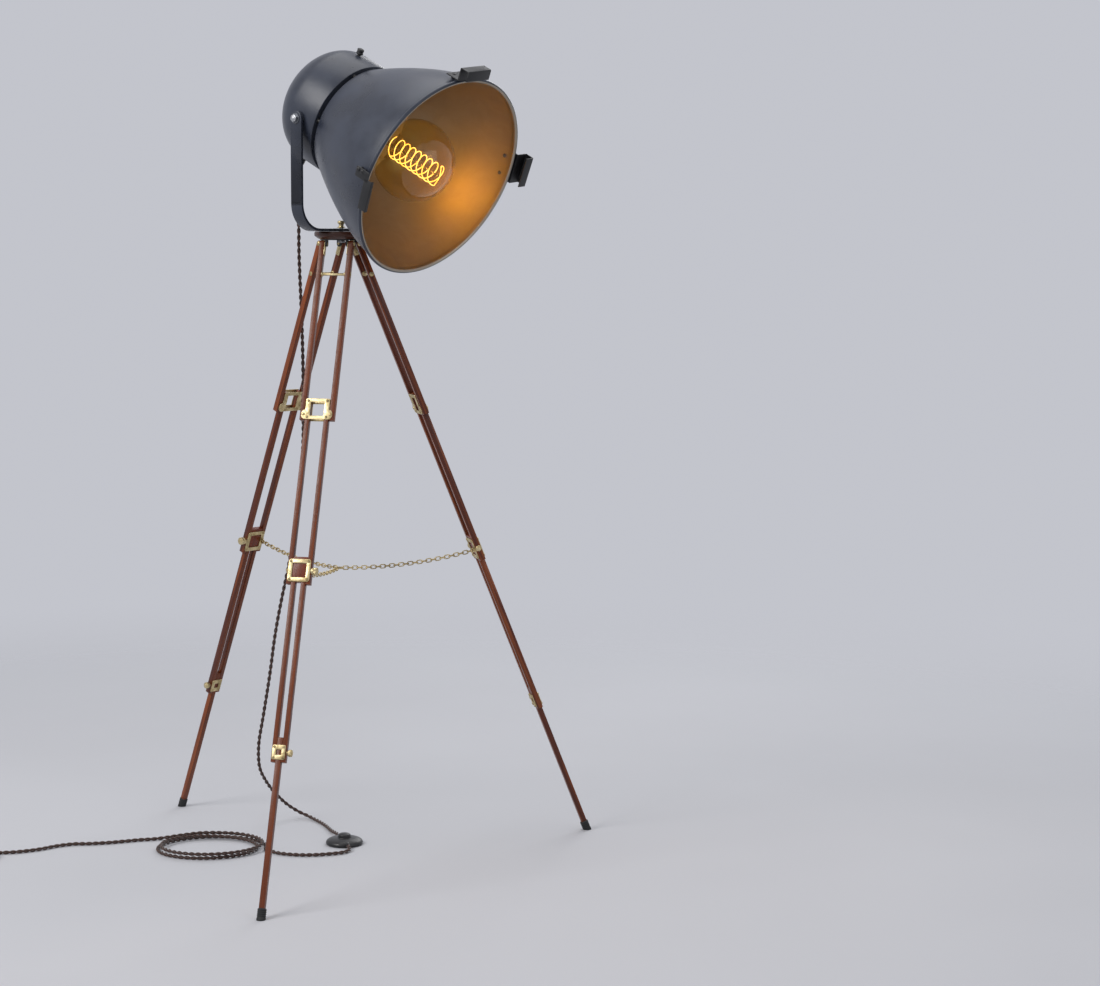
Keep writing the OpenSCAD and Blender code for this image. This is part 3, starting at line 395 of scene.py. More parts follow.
finish = {
    "wood": makeVarnishedWood("mahoganyVarnish", (0.27, 0.062, 0.011), (0.085, 0.014, 0.004), 0.01),
    "blockWood": makeVarnishedWood("redBlockVarnish", (0.25, 0.046, 0.012), (0.12, 0.018, 0.006), 0.01),
    "darkWood": makeVarnishedWood("crownVarnish", (0.085, 0.026, 0.013), (0.030, 0.010, 0.006), 0.05),
    "brass": makeBrass("lacqueredBrass", (0.70, 0.58, 0.33), (0.34, 0.26, 0.12), 0.30),
    "oldBrass": makeBrass("screwBrass", (0.60, 0.48, 0.25), (0.26, 0.19, 0.085), 0.34),
    "slate": makeTexturedPaint("slatePaint", (0.022, 0.027, 0.043), (0.036, 0.044, 0.068), grain=0.55, rough=0.30,
                               lumps=0.00016, worn=(0.30, 0.31, 0.33), lights=0.16),
    "black": makeTexturedPaint("clipPaint", (0.007, 0.007, 0.008), (0.013, 0.013, 0.014), grain=0.9, rough=0.42,
                               lumps=0.00008, worn=(0.16, 0.16, 0.16), lights=0.05),
    # satinReflector is darkened below bare aluminium as painted shade, for the reflector's unlit inside
    "aluminium": makeSatinAluminium("satinReflector", (0.36, 0.32, 0.26), 0.33),
    "plate": makeSatinAluminium("holderPlate", (0.55, 0.55, 0.54), 0.42),
    "steel": makePlainMetal("boltSteel", (0.56, 0.57, 0.59), (0.30, 0.30, 0.31), 0.28),
    "darkSteel": makePlainMetal("washerSteel", (0.20, 0.21, 0.23), (0.10, 0.10, 0.11), 0.36),
    "nickel": makePlainMetal("capNickel", (0.72, 0.70, 0.66), (0.50, 0.47, 0.42), 0.2),
    "ceramic": makeGlazed("holderGlaze", (0.80, 0.78, 0.72)),
    "amber": makeAmberGlass("amberGlass", (1.0, 0.86, 0.50)),
    "clearGlass": makeAmberGlass("stemGlass", (0.99, 0.96, 0.90)),
    "glow": makeGlow("filamentGlow", (1.0, 0.50, 0.09), (1.0, 0.68, 0.22), 2.6),
    "rubber": makeDarkPlastic("footRubber", (0.016, 0.016, 0.017), 0.72, 1.4, 0.0001, 0.12),
    "plastic": makeDarkPlastic("switchPlastic", (0.014, 0.014, 0.015), 0.34, 2.2, 0.00003, 0.07),
    # The cloth's near-black second colour is painted shade in the holes of the weave
    "cloth": makeCordCloth("cordCloth", (0.042, 0.020, 0.015), (0.004, 0.003, 0.002), (0.13, 0.040, 0.024)),
}
print("materials:", len(finish))


def startBox(size, middle=(0, 0, 0)):
    part = bmesh.new()
    bmesh.ops.create_cube(part, size=1, matrix=Matrix.Translation(middle) @ Matrix.Diagonal((*size, 1)))
    return part


def startRod(radius, low, high, segments=32):  # along Z
    part = bmesh.new()
    bmesh.ops.create_cone(part, cap_ends=True, segments=segments, radius1=radius, radius2=radius, depth=high - low,
                          matrix=move(z=(low + high) / 2))
    return part


def spinRound(part, points, edges, segments):  # a full turn about Z
    bmesh.ops.spin(part, geom=points + edges, cent=(0, 0, 0), axis=(0, 0, 1), dvec=(0, 0, 0),
                   angle=math.tau, steps=segments, use_merge=True, use_duplicate=False)
    tidy(part)
    return part


def startTurned(outline, segments=48):  # outline of (radius, height), spun round Z
    part = bmesh.new()
    points = [part.verts.new((radius, 0, height)) for radius, height in outline]
    edges = [part.edges.new(pair) for pair in zip(points, points[1:])]
    if outline[0][0] > 0 or outline[-1][0] > 0:  # a loop, unless it begins and ends on the axis
        edges.append(part.edges.new((points[-1], points[0])))
    return spinRound(part, points, edges, segments)


def startRing(radius, wire, segments=32, sides=10):  # a round ring in the XY plane
    part = bmesh.new()
    loop = bmesh.ops.create_circle(part, cap_ends=False, radius=wire / 2, segments=sides,
                                   matrix=move(radius) @ turn(90, "X"))["verts"]
    edges = list({edge for vert in loop for edge in vert.link_edges})
    return spinRound(part, loop, edges, segments)


def startPlate(outline, thickness, holes=(), rounding=(), hollowRounding=0.0):
    # outline of (x, y), rounding gives a radius for each corner; the plate stands on the XY plane
    part = bmesh.new()
    for number, loop in enumerate([outline, *holes]):
        points = [part.verts.new((x, y, 0)) for x, y in loop]
        for first, second in zip(points, points[1:] + points[:1]):
            part.edges.new((first, second))
        radii = rounding if number == 0 else [hollowRounding] * len(points)
        for radius in sorted(set(radii)):
            if radius > 0:
                corners = [point for point, wanted in zip(points, radii) if wanted == radius]
                bmesh.ops.bevel(part, geom=corners, offset=radius, offset_type="OFFSET", affect="VERTICES",
                                segments=8 if radius > 4 else 4, profile=0.5, material=-1)
    bmesh.ops.triangle_fill(part, use_beauty=True, use_dissolve=True, edges=part.edges[:])
    raised = bmesh.ops.extrude_face_region(part, geom=part.faces[:])["geom"]
    bmesh.ops.translate(part, verts=only(raised, bmesh.types.BMVert), vec=(0, 0, thickness))
    tidy(part)
    return part


def polar(radius, degrees, middle=(0, 0)):
    angle = math.radians(degrees)
    return middle[0] + radius * math.cos(angle), middle[1] + radius * math.sin(angle)


def circleOutline(radius, middle=(0, 0), count=24):
    angles = [math.tau * i / count for i in range(count)]
    return [(middle[0] + radius * math.cos(a), middle[1] + radius * math.sin(a)) for a in angles]


def only(things, kind):
    return [thing for thing in things if isinstance(thing, kind)]


def rise(edge, axis):  # how far an edge goes along an axis
    return abs(edge.verts[0].co[axis] - edge.verts[1].co[axis])


def wholeOf(part):
    return part.verts[:] + part.edges[:] + part.faces[:]


def tidy(part):
    bmesh.ops.remove_doubles(part, verts=part.verts, dist=0.002)
    bmesh.ops.recalc_face_normals(part, faces=part.faces)


def sharpEdges(part, angle=30):
    return [edge for edge in part.edges if edge.calc_face_angle(0) > math.radians(angle)]


def roundEdges(part, width, segments=2, edges=None, angle=30):
    chosen = sharpEdges(part, angle) if edges is None else edges
    bmesh.ops.bevel(part, geom=chosen, offset=width, offset_type="OFFSET", affect="EDGES", segments=segments,
                    profile=0.5, material=-1, clamp_overlap=True)
    return part


def addPart(piece, part, place=None, material=0):  # puts a finished part into a piece
    if place is not None:
        part.transform(place)
    if material is not None:
        for face in part.faces:
            face.material_index = material
    mesh = bpy.data.meshes.new("part")
    part.to_mesh(mesh)
    part.free()
    piece.from_mesh(mesh)
    bpy.data.meshes.remove(mesh)


def finishPiece(name, piece, place, body, materials, nodes=(), smooth=38, shift=0, spaceTurn=None,
                bend=None):
    space = piece.verts.layers.float_vector.new("pieceSpace")
    for vert in piece.verts:
        vert[space] = (spaceTurn @ vert.co if spaceTurn else vert.co) + grainShift(shift)
    piece.transform(place)
    mesh = bpy.data.meshes.new(name)
    piece.to_mesh(mesh)
    piece.free()
    mesh.shade_smooth()
    mesh.set_sharp_from_angle(angle=math.radians(smooth))
    for label in materials:
        mesh.materials.append(finish[label])
    made = bpy.data.objects.new(name, mesh)
    bpy.context.scene.collection.objects.link(made)
    if bend:
        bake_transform(made)
    else:
        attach(made, body)
    if nodes:
        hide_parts(*nodes)
    return made


# The twisted cord: two cloth-covered cores laid round each other
cordSize = Sizes(diameter=0.007, cores=2, core=0.0038, offset=0.0019, layLength=0.026, step=0.0021, lay=0.0036)
switchPlace = Sizes(at=(-0.001, 0.032), portHeight=0.0065, portRadius=0.042, inAngle=105, outAngle=-80)
gland = Sizes(x=-57, inside=80, seat=94, end=120, ribs=4)


def headPoint(along, above):  # a point of the head's middle plane, from the tripod's axis
    tilt, aim = math.radians(head.tilt), math.radians(head.azimuth)
    level = along * math.cos(tilt) + above * math.sin(tilt)
    return (level * math.cos(aim) / 1000, level * math.sin(aim) / 1000,
            (head.height - along * math.sin(tilt) + above * math.cos(tilt)) / 1000)


def portPoint(angle, radius):
    return (*polar(radius, angle, switchPlace.at), switchPlace.portHeight)


lay = cordSize.lay
topRoute = [headPoint(gland.x, -gland.end - 0.02), headPoint(gland.x, -gland.end - 12), (-0.083, 0.076, 1.310),
            (-0.084, 0.075, 1.290),
            (-0.083, 0.073, 1.265), (-0.083, 0.073, 1.245), (-0.083, 0.073, 1.230)]
dropRoute = [(-0.083, 0.073, 1.230), (-0.083, 0.073, 1.210), (-0.083, 0.073, 1.180), (-0.082, 0.074, 1.140),
             (-0.080, 0.075, 1.085),
             (-0.078, 0.078, 1.015), (-0.077, 0.080, 0.947), (-0.077, 0.082, 0.860), (-0.080, 0.084, 0.768),
             (-0.092, 0.086, 0.650),
             (-0.108, 0.090, 0.560), (-0.125, 0.102, 0.480), (-0.138, 0.113, 0.410), (-0.150, 0.126, 0.325),
             (-0.164, 0.142, 0.240),
             (-0.174, 0.156, 0.180), (-0.174, 0.172, 0.130), (-0.163, 0.192, 0.096), (-0.146, 0.212, 0.066),
             (-0.122, 0.232, 0.036),
             (-0.097, 0.243, 0.016), (-0.074, 0.237, 0.0062), (-0.055, 0.208, lay), (-0.040, 0.170, lay),
             (-0.028, 0.125, lay + 0.0008),
              portPoint(switchPlace.inAngle, 0.062), portPoint(switchPlace.inAngle, 0.048),
             portPoint(switchPlace.inAngle, switchPlace.portRadius)]
leadRoute = [portPoint(switchPlace.outAngle, switchPlace.portRadius), portPoint(switchPlace.outAngle, 0.048),
             (0.009, -0.030, lay + 0.0008), (-0.002, -0.046, lay), (-0.030, -0.057, lay),
             (-0.064, -0.062, lay), (-0.098, -0.058, lay), (-0.128, -0.044, lay), (-0.148, -0.024, lay),
             (-0.156, -0.012, lay),
             (-0.156, 0.001, lay)]
loops = Sizes(at=(-0.267, 0.008), size=(0.111, 0.090), inward=0.16, back=1.2, turns=2.25, rings=24, layer=0.0078)
coil = Sizes(at=(-0.715, -0.037), radius=0.036, step=0.0078, turns=5, rings=24, layer=0.0078)


def loopsPoint(turned):
    inward = turned if turned < loops.back else 2 * loops.back - turned
    shrink = 1 - loops.inward * inward
    climb = min(max((turned - loops.back + 0.25) / 0.5, 0), 1)
    return (loops.at[0] + loops.size[0] * shrink * math.cos(math.tau * turned),
            loops.at[1] + loops.size[1] * shrink * math.sin(math.tau * turned), lay + loops.layer * climb)


def coilPoint(turned):
    half = coil.turns / 2
    radius = coil.radius - coil.step * (turned if turned < half else coil.turns - turned)
    climb = min(max((turned - half + 0.25) / 0.5, 0), 1)
    angle = math.radians(90) + math.tau * turned
    return (coil.at[0] + radius * math.cos(angle), coil.at[1] + radius * math.sin(angle), lay + coil.layer * climb)


loopsRoute = [loopsPoint(i / loops.rings) for i in range(round(loops.turns * loops.rings) + 1)]
loopsEnd = (loopsRoute[-1][0] - 0.007, loopsRoute[-1][1], loopsRoute[-1][2])
tailRoute = [loopsEnd, (loopsEnd[0] - 0.012, loopsEnd[1], loopsEnd[2]), (-0.310, 0.094, 0.010),
             (-0.342, 0.090, 0.007), (-0.375, 0.085, 0.004),
             (-0.415, 0.078, lay), (-0.462, 0.064, lay), (-0.505, 0.057, lay), (-0.540, 0.056, lay),
             (-0.572, 0.042, lay),
             (-0.602, 0.020, lay), (-0.640, 0.004, lay), (-0.675, -0.001, lay), (-0.695, -0.001, lay),
             (coil.at[0] + 0.007, -0.001, lay)]
coilRoute = [coilPoint(i / coil.rings) for i in range(round(coil.turns * coil.rings) + 1)]
coilEnd = (coilRoute[-1][0] - 0.030, coilRoute[-1][1], coilRoute[-1][2])


def smoothRoute(route, parts=8):  # the same curve through the points as the solids have
    points = [Vector(p) for p in route]
    line = []
    for i in range(len(points) - 1):
        a, b, c, d = points[max(i - 1, 0)], points[i], points[i + 1], points[min(i + 2, len(points) - 1)]
        for k in range(parts):
            t = k / parts
            line.append(b + 0.5 * t * ((c - a) + t * ((2 * a - 5 * b + 4 * c - d) + t * (3 * (b - c) + d - a))))
    return line + [points[-1]]


def evenRoute(line, step):
    lengths = [0.0]
    for a, b in zip(line, line[1:]):
        lengths.append(lengths[-1] + (b - a).length)
    count = max(2, round(lengths[-1] / step))
    even, i = [], 0
    for k in range(count + 1):
        wanted = lengths[-1] * k / count
        while i < len(line) - 2 and lengths[i + 1] < wanted:
            i += 1
        span = lengths[i + 1] - lengths[i]
        even.append(line[i].lerp(line[i + 1], 0 if span == 0 else (wanted - lengths[i]) / span))
    return even, lengths[-1]


def twistedCores(even, length):  # lines wound round the middle one
    side = Vector((1, 0.3, 0.1))
    cores = [[] for core in range(cordSize.cores)]
    for i, point in enumerate(even):
        ahead = (even[min(i + 1, len(even) - 1)] - even[max(i - 1, 0)]).normalized()
        side = (side - ahead * side.dot(ahead)).normalized()
        other = ahead.cross(side)
        wound = math.tau * length * i / (len(even) - 1) / cordSize.layLength
        for k, core in enumerate(cores):
            angle = wound + math.tau * k / len(cores)
            core.append(towerPlace @ (point + cordSize.offset * (math.cos(angle) * side + math.sin(angle) * other)))
    return cores


def wireMesh(name, lines, radius):  # a round wire along each line of points
    curve = bpy.data.curves.new(name, "CURVE")
    curve.dimensions, curve.bevel_depth, curve.bevel_resolution, curve.use_fill_caps = "3D", radius, 2, True
    for line in lines:
        spline = curve.splines.new("POLY")
        spline.points.add(len(line) - 1)
        for point, place in zip(spline.points, line):
            point.co = (*place, 1)
    wire = bpy.data.objects.new(name + "Curve", curve)
    bpy.context.scene.collection.objects.link(wire)
    bpy.context.view_layer.update()
    mesh = bpy.data.meshes.new_from_object(wire.evaluated_get(bpy.context.evaluated_depsgraph_get()))
    bpy.data.objects.remove(wire)
    mesh.name = name
    return mesh


def makeCord(name, cores, first, last, nodes):
    mesh = wireMesh(name, [core[first:last + 1] for core in cores], cordSize.core / 2)
    mesh.materials.clear()
    mesh.materials.append(finish["cloth"])
    mesh.shade_smooth()
    layStrandMap(mesh, first, last)
    made = bpy.data.objects.new(name, mesh)
    bpy.context.scene.collection.objects.link(made)
    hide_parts(*nodes)
    return made


def layStrandMap(mesh, first, last):  # U is the length along a core, V the way round it
    layer = mesh.uv_layers[0] if mesh.uv_layers else mesh.uv_layers.new()
    layer.name = "strand"
    count, sides, stepLength = last - first + 1, 8, cordSize.step
    for polygon in mesh.polygons:
        numbers = [mesh.loops[i].vertex_index for i in polygon.loop_indices]
        if len(numbers) != 4:
            continue
        ring = [(number // sides) % count for number in numbers]
        around = [number % sides for number in numbers]
        seam = max(around) - min(around) > 1
        for i, r, a in zip(polygon.loop_indices, ring, around):
            layer.data[i].uv = ((first + r) * stepLength, (a + (sides if seam and a == 0 else 0)) / sides)


hangLine, hangLength = evenRoute(smoothRoute(topRoute) + smoothRoute(dropRoute)[1:], cordSize.step)
floorLine, floorLength = evenRoute(smoothRoute(leadRoute) + smoothRoute(loopsRoute, 4)[1:] + smoothRoute(tailRoute)
                                   + smoothRoute(coilRoute, 4)[1:] + [Vector(coilEnd)], cordSize.step)
print("cord: %.3f m hanging, %.3f m on the floor" % (hangLength, floorLength))
hangCores, floorCores = twistedCores(hangLine, hangLength), twistedCores(floorLine, floorLength)
split = min(range(len(hangLine)), key=lambda i: (hangLine[i] - Vector(dropRoute[0])).length)
hangLast, floorLast = len(hangLine) - 1, len(floorLine) - 1
cordTop = makeCord("cordTop", hangCores, 0, split, ["cord_top"])
cordDrop = makeCord("cordDrop", hangCores, split, hangLast, ["cord_drop"])
cordFloor = makeCord("cordFloor", floorCores, 0, floorLast, ["cord_lead", "cord_loops", "cord_tail", "cord_coil"])
print("cords made")

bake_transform(cordTop)
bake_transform(cordDrop)
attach(cordFloor, "crown")

# Wooden bars of a leg
upperBars = Sizes(width=10, depth=11.6, pitch=57.2, end=357, edge=0.8)
middleBars = Sizes(width=9, depth=11.6, pitch=37.4, start=316.2, end=675, edge=0.8)
lowerBars = Sizes(width=8.6, depth=11.2, pitch=19.4, start=623, blockEnd=671, blockWidth=28, end=1007, edge=0.7)
bottomBar = Sizes(width=10.4, depth=10.8, pitch=0, start=961.5, edge=0.7)


def addBars(piece, size, start, end, sides=bothSides):  # a bar at each side, or one in the middle
    for side in sides:
        x = side * size.pitch / 2
        bar = startBox((size.width, size.depth, end - start), (x, 0, -(start + end) / 2))
        addPart(piece, roundEdges(bar, size.edge, 3))


def grainShift(number):  # so that no two pieces show the same grain
    return Vector((41.7 * number, 23.9 * number, 517.0 * number))


def makeUpperBars(leg, place, number):
    size, piece = upperBars, bmesh.new()
    for side in bothSides:
        bar = startBox((size.width, size.depth, size.end + size.depth / 2),
                       (side * size.pitch / 2, 0, (size.depth / 2 - size.end) / 2))
        top = [e for e in bar.edges if all(v.co.z > 0 for v in e.verts) and rise(e, 0) > 1]
        roundEdges(bar, size.depth / 2 - 0.05, 8, top)
        addPart(piece, roundEdges(bar, size.edge, 3))
    finishPiece(leg + "UpperBars", piece, place, leg + "_leg", ["wood"], [leg + "_upper_bars"],
                shift=number)


def makeMiddleBars(leg, place, number):
    size, piece = middleBars, bmesh.new()
    addBars(piece, size, size.start, size.end)
    finishPiece(leg + "MiddleBars", piece, place, leg + "_leg", ["wood"], [leg + "_middle_bars"],
                shift=number + 3)


def makeLowerBars(leg, place, number):
    size, piece = lowerBars, bmesh.new()
    addBars(piece, size, size.blockEnd - 8, size.end)
    block = startBox((size.blockWidth, size.depth + 0.05, size.blockEnd - size.start),
                     (0, 0, -(size.start + size.blockEnd) / 2))
    addPart(piece, roundEdges(block, size.edge, 3), None, 1)
    finishPiece(leg + "LowerBars", piece, place, leg + "_lower_section", ["wood", "blockWood"],
                [leg + "_lower_bars"], shift=number + 6)


def makeBottomBar(leg, place, number):
    size, piece = bottomBar, bmesh.new()
    addBars(piece, size, size.start, legLength - 10, [0])
    finishPiece(leg + "BottomBar", piece, place, leg + "_bottom_section", ["wood"], [leg + "_bottom_bar"],
                shift=number + 9)


rubberFoot = Sizes(radius=8.5, length=20, ribs=4)


def makeFoot(leg, place):
    size, piece = rubberFoot, bmesh.new()
    radius, length = size.radius, size.length
    outline = [(0, -8), (radius - 0.6, -8), (radius, -7), (radius, 2.6)]
    for i in range(size.ribs):
        low = 4 + i * 3.6
        outline += [(radius - 0.8, low), (radius - 0.8, low + 1.1), (radius - 0.1, low + 1.8),
                    (radius - 0.1, low + 2.9)]
    outline += [(radius - 0.9, length - 0.8), (radius - 1.8, length), (5.2, length), (5.0, length - 3), (0, length - 3)]
    addPart(piece, startTurned(outline, 40), move(z=-legLength))
    floorLevel = place.inverted() @ Vector((0, 0, 0))  # the tip is cut flat where it stands
    upward = (place.to_3x3().inverted() @ Vector((0, 0, 1))).normalized()
    cut = bmesh.ops.bisect_plane(piece, geom=wholeOf(piece), dist=0.0001,
                                 plane_co=floorLevel, plane_no=upward, clear_inner=True)
    bmesh.ops.edgeloop_fill(piece, edges=[e for e in cut["geom_cut"] if isinstance(e, bmesh.types.BMEdge)])
    bmesh.ops.recalc_face_normals(piece, faces=piece.faces)
    finishPiece(leg + "Foot", piece, place, leg + "_bottom_section", ["rubber"], [leg + "_foot"])


# Brass of a leg
fitting = Sizes(plate=1.5, edge=0.35, screw=2.9, screwHeight=1.35, slot=0.55)


def startScrewHead(radius, height, turned=0.0):
    part = startTurned([(0, 0), (radius, 0), (radius, height * 0.3), (radius * 0.86, height * 0.62),
                        (radius * 0.55, height * 0.9), (0, height)], 20)
    for x in (-fitting.slot / 2, fitting.slot / 2):
        bmesh.ops.bisect_plane(part, geom=wholeOf(part), dist=0.0001, plane_co=(x, 0, 0), plane_no=(1, 0, 0))
    strip = [f for f in part.faces if abs(f.calc_center_median().x) < fitting.slot / 2 and f.normal.z > 0.25]
    sunk = bmesh.ops.extrude_face_region(part, geom=strip)["geom"]
    for vert in only(sunk, bmesh.types.BMVert):
        vert.co.z = min(vert.co.z, height) * 0.35
    bmesh.ops.recalc_face_normals(part, faces=part.faces)
    part.transform(turn(turned, "Z"))
    return part


def addScrews(piece, spots, depth, at, number=0):
    for i, (x, z) in enumerate(spots):
        for side in bothSides:
            screw = startScrewHead(fitting.screw, fitting.screwHeight, 37 * (i + number) + 90 * side)
            addPart(piece, screw, move(x, side * (depth / 2 + fitting.plate - 0.1), z - at) @ turn(-90 * side, "X"), 1)


def addFacePlates(piece, outline, holes, rounding, depth, at, hollowRounding=0.0):
    for side in bothSides:
        plate = startPlate(outline, fitting.plate, holes, rounding, hollowRounding)
        roundEdges(plate, fitting.edge, 2)
        back = depth / 2 + fitting.plate if side > 0 else -depth / 2
        addPart(piece, plate, move(0, back, -at) @ turn(90, "X"))


def cornersOf(x, y):
    return [(-x, -y), (x, -y), (-x, y), (x, y)]


def squareOutline(width, height):
    x, y = width / 2, height / 2
    return [(-x, -y), (x, -y), (x, y), (-x, y)]


hingeStraps = Sizes(inner=23.6, thick=1.2, width=10, length=24)


def makeHingeStraps(leg, place):
    size, piece = hingeStraps, bmesh.new()
    half = size.width / 2
    outline = [(-half, -size.length), (half, -size.length), (half, half), (-half, half)]
    for side in bothSides:
        strap = startPlate(outline, size.thick, (), (1.5, 1.5, half - 0.05, half - 0.05))
        roundEdges(strap, 0.25, 2)
        x = size.inner - size.thick if side > 0 else -size.inner
        addPart(piece, strap, move(x=x) @ turn(90, "Z") @ turn(90, "X"))
        for z in (-12, -20):
            screw = startScrewHead(2.2, 0.9, 50 * z)
            addPart(piece, screw, move(side * (size.inner - size.thick), 0, z) @ turn(-90 * side, "Y"), 1)
    finishPiece(leg + "HingeStraps", piece, place, leg + "_leg", ["brass", "oldBrass"], [leg + "_brass"])


stay = Sizes(at=63, rod=2.5, inner=23.6, outer=33.6)


def makeStay(leg, place):
    size, piece = stay, bmesh.new()
    across = move(z=-size.at) @ turn(90, "Y")
    addPart(piece, roundEdges(startRod(size.rod, -size.outer - 0.6, size.outer + 0.6, 24), 0.5), across)
    for side in bothSides:
        collar = startTurned([(0, 0), (5, 0), (5, 1.2), (4, 1.6), (3.4, 3), (0, 3)], 28)
        addPart(piece, collar, move(side * size.inner, 0, -size.at) @ turn(-90 * side, "Y"))
        washer = startTurned([(0, 0), (4.2, 0), (4.2, 0.5), (2.6, 0.9), (0, 1.0)], 24)
        addPart(piece, washer, move(side * size.outer, 0, -size.at) @ turn(90 * side, "Y"), 1)
    finishPiece(leg + "Stay", piece, place, leg + "_leg", ["brass", "oldBrass"])


windowFitting = Sizes(at=335.7, width=47, height=41, window=27, depth=11.6, ear=8.8, earX=21.7, earDrop=10.5, pinX=26.6)


def makeWindowFitting(leg, place, number):
    size, piece = windowFitting, bmesh.new()
    half, low, high = size.width / 2, -size.height / 2, size.height / 2
    reach, earTop = size.earX + size.ear, -size.earDrop + size.ear
    outline = [(-reach, low), (reach, low), (reach, earTop), (half, earTop), (half, high), (-half, high),
               (-half, earTop), (-reach, earTop)]
    ear = size.ear - 0.1
    addFacePlates(piece, outline, [squareOutline(size.window, size.window)], (ear, ear, ear, 0.6, 2.5, 2.5, 0.6, ear),
                  size.depth, size.at, 0.8)
    addScrews(piece, cornersOf(18.7, 16), size.depth, size.at, number)
    for side in bothSides:
        pin = roundEdges(startRod(2, -size.depth / 2 - 2.4, size.depth / 2 + 2.4, 24), 0.3)
        addPart(piece, pin, move(side * size.pinX, 0, -size.at - size.earDrop) @ turn(90, "X"), 1)
        for end in (-1, 1):
            rivet = startTurned([(0, 0), (3.4, 0), (3.2, 0.7), (2.2, 1.2), (0, 1.45)], 24)
            out = end * (size.depth / 2 + fitting.plate - 0.05)
            addPart(piece, rivet, move(side * size.pinX, out, -size.at - size.earDrop) @ turn(-90 * end, "X"), 1)
    finishPiece(leg + "WindowFitting", piece, place, leg + "_leg", ["brass", "oldBrass"])


clampFitting = Sizes(at=649, side=43, window=27, depth=11.6, outer=23.2, eyeX=17)


def makeClampFitting(leg, place, number):
    size, piece = clampFitting, bmesh.new()
    side, at, outer = size.side, size.at, size.outer
    addFacePlates(piece, squareOutline(side, side), [squareOutline(size.window, size.window)], (5, 5, 5, 5),
                  size.depth, at, 0.8)
    addScrews(piece, cornersOf(17, 17), size.depth, at, number + 5)
    boss = startTurned([(3.1, -1), (7, -1), (7, 3), (6.2, 4), (3.1, 4)], 32)
    addPart(piece, boss, move(-outer, 0, -at) @ turn(-90, "Y"))
    rivet = startTurned([(0, -0.5), (6.4, -0.5), (6.2, 0.4), (5.4, 1.6), (3.9, 2.8), (2, 3.5), (0, 3.7)], 32)
    addPart(piece, rivet, move(outer, 0, -at) @ turn(90, "Y"))
    eye = startPlate([(-4.5, -4.5), (5.2, -4.5), (5.2, 4.5), (-4.5, 4.5)], 2.4, [circleOutline(2.4, count=20)],
                     (4.45, 0, 0, 4.45))
    roundEdges(eye, 0.4, 2)
    addPart(piece, eye, move(size.eyeX - 1.2, -size.depth / 2 - fitting.plate - 5, -at) @ turn(90, "Z")
            @ turn(90, "X"), 1)
    finishPiece(leg + "ClampFitting", piece, place, leg + "_leg", ["brass", "oldBrass"])


collar = Sizes(at=989, width=25, height=27, window=10, depth=11.2, outer=14)


def makeCollar(leg, place, number):
    size, piece = collar, bmesh.new()
    addFacePlates(piece, squareOutline(size.width, size.height), [squareOutline(size.window, size.window)],
                  (3, 3, 3, 3), size.depth, size.at, 0.5)
    addScrews(piece, cornersOf(9, 10), size.depth, size.at, number + 9)
    boss = startTurned([(2.6, -1), (4.5, -1), (4.5, 2.4), (3.9, 3), (2.6, 3)], 28)
    addPart(piece, boss, move(-size.outer, 0, -size.at) @ turn(-90, "Y"))
    finishPiece(leg + "Collar", piece, place, leg + "_lower_section", ["brass", "oldBrass"], [leg + "_lower_collar"])


clampScrew = Sizes(head=15, height=6, shank=3, tip=14.3, start=27.5, flutes=24, at=649)
thumbScrew = Sizes(head=13, height=6, shank=2.5, tip=5.5, start=17.3, flutes=20, at=989)


def makeMilledScrew(name, size, place, body):
    piece = bmesh.new()
    knob = startRod(size.head / 2, 0, size.height, size.flutes * 6)
    for vert in knob.verts:  # flutes round the head
        angle = math.atan2(vert.co.y, vert.co.x)
        shrink = 1 - 0.035 * (1 + math.cos(angle * size.flutes))
        vert.co.x *= shrink
        vert.co.y *= shrink
    roundEdges(knob, 0.6, 2, [e for e in knob.edges if rise(e, 2) < 0.01])
    out = move(z=-size.at) @ turn(-90, "Y")  # Z now runs away from the leg
    addPart(piece, knob, out @ move(z=size.start))
    dimple = startTurned([(0, -0.4), (size.head * 0.30, -0.4), (size.head * 0.30, 0.5), (size.head * 0.22, 1.1),
                          (0, 1.2)], 32)
    addPart(piece, dimple, out @ move(z=size.start + size.height))
    addPart(piece, roundEdges(startRod(size.shank, size.tip, size.start + 1, 24), 0.4), out, 1)
    finishPiece(name, piece, place, body, ["brass", "oldBrass"], [body])


for number, (leg, azimuth) in enumerate(tripod.legs.items()):
    place = legPlace(azimuth)
    for make in (makeUpperBars, makeMiddleBars, makeLowerBars, makeBottomBar):
        make(leg, place, number)
    for make in (makeFoot, makeHingeStraps, makeStay):
        make(leg, place)
    for make in (makeWindowFitting, makeClampFitting, makeCollar):
        make(leg, place, number)
    makeMilledScrew(leg + "ClampScrew", clampScrew, place, leg + "_clamp_screw")
    makeMilledScrew(leg + "ThumbScrew", thumbScrew, place, leg + "_thumb_screw")
print("legs made")

# Crown, its bracket and pins, the stud and the knob
crown = Sizes(radius=52, top=1219.8, thick=14.4, bolt=4, plateRadius=41, plate=2.2, earX=20.5, ear=3, pin=2.5)

crownScrews = Sizes(radius=33, angles=(72.85, -47.15, -167.15))  # they hold the bracket to the wood
panStud = Sizes(hex=8.2, head=5, threadFrom=1226, pitch=1.4, turns=7, end=1236, knobAt=1226.5)


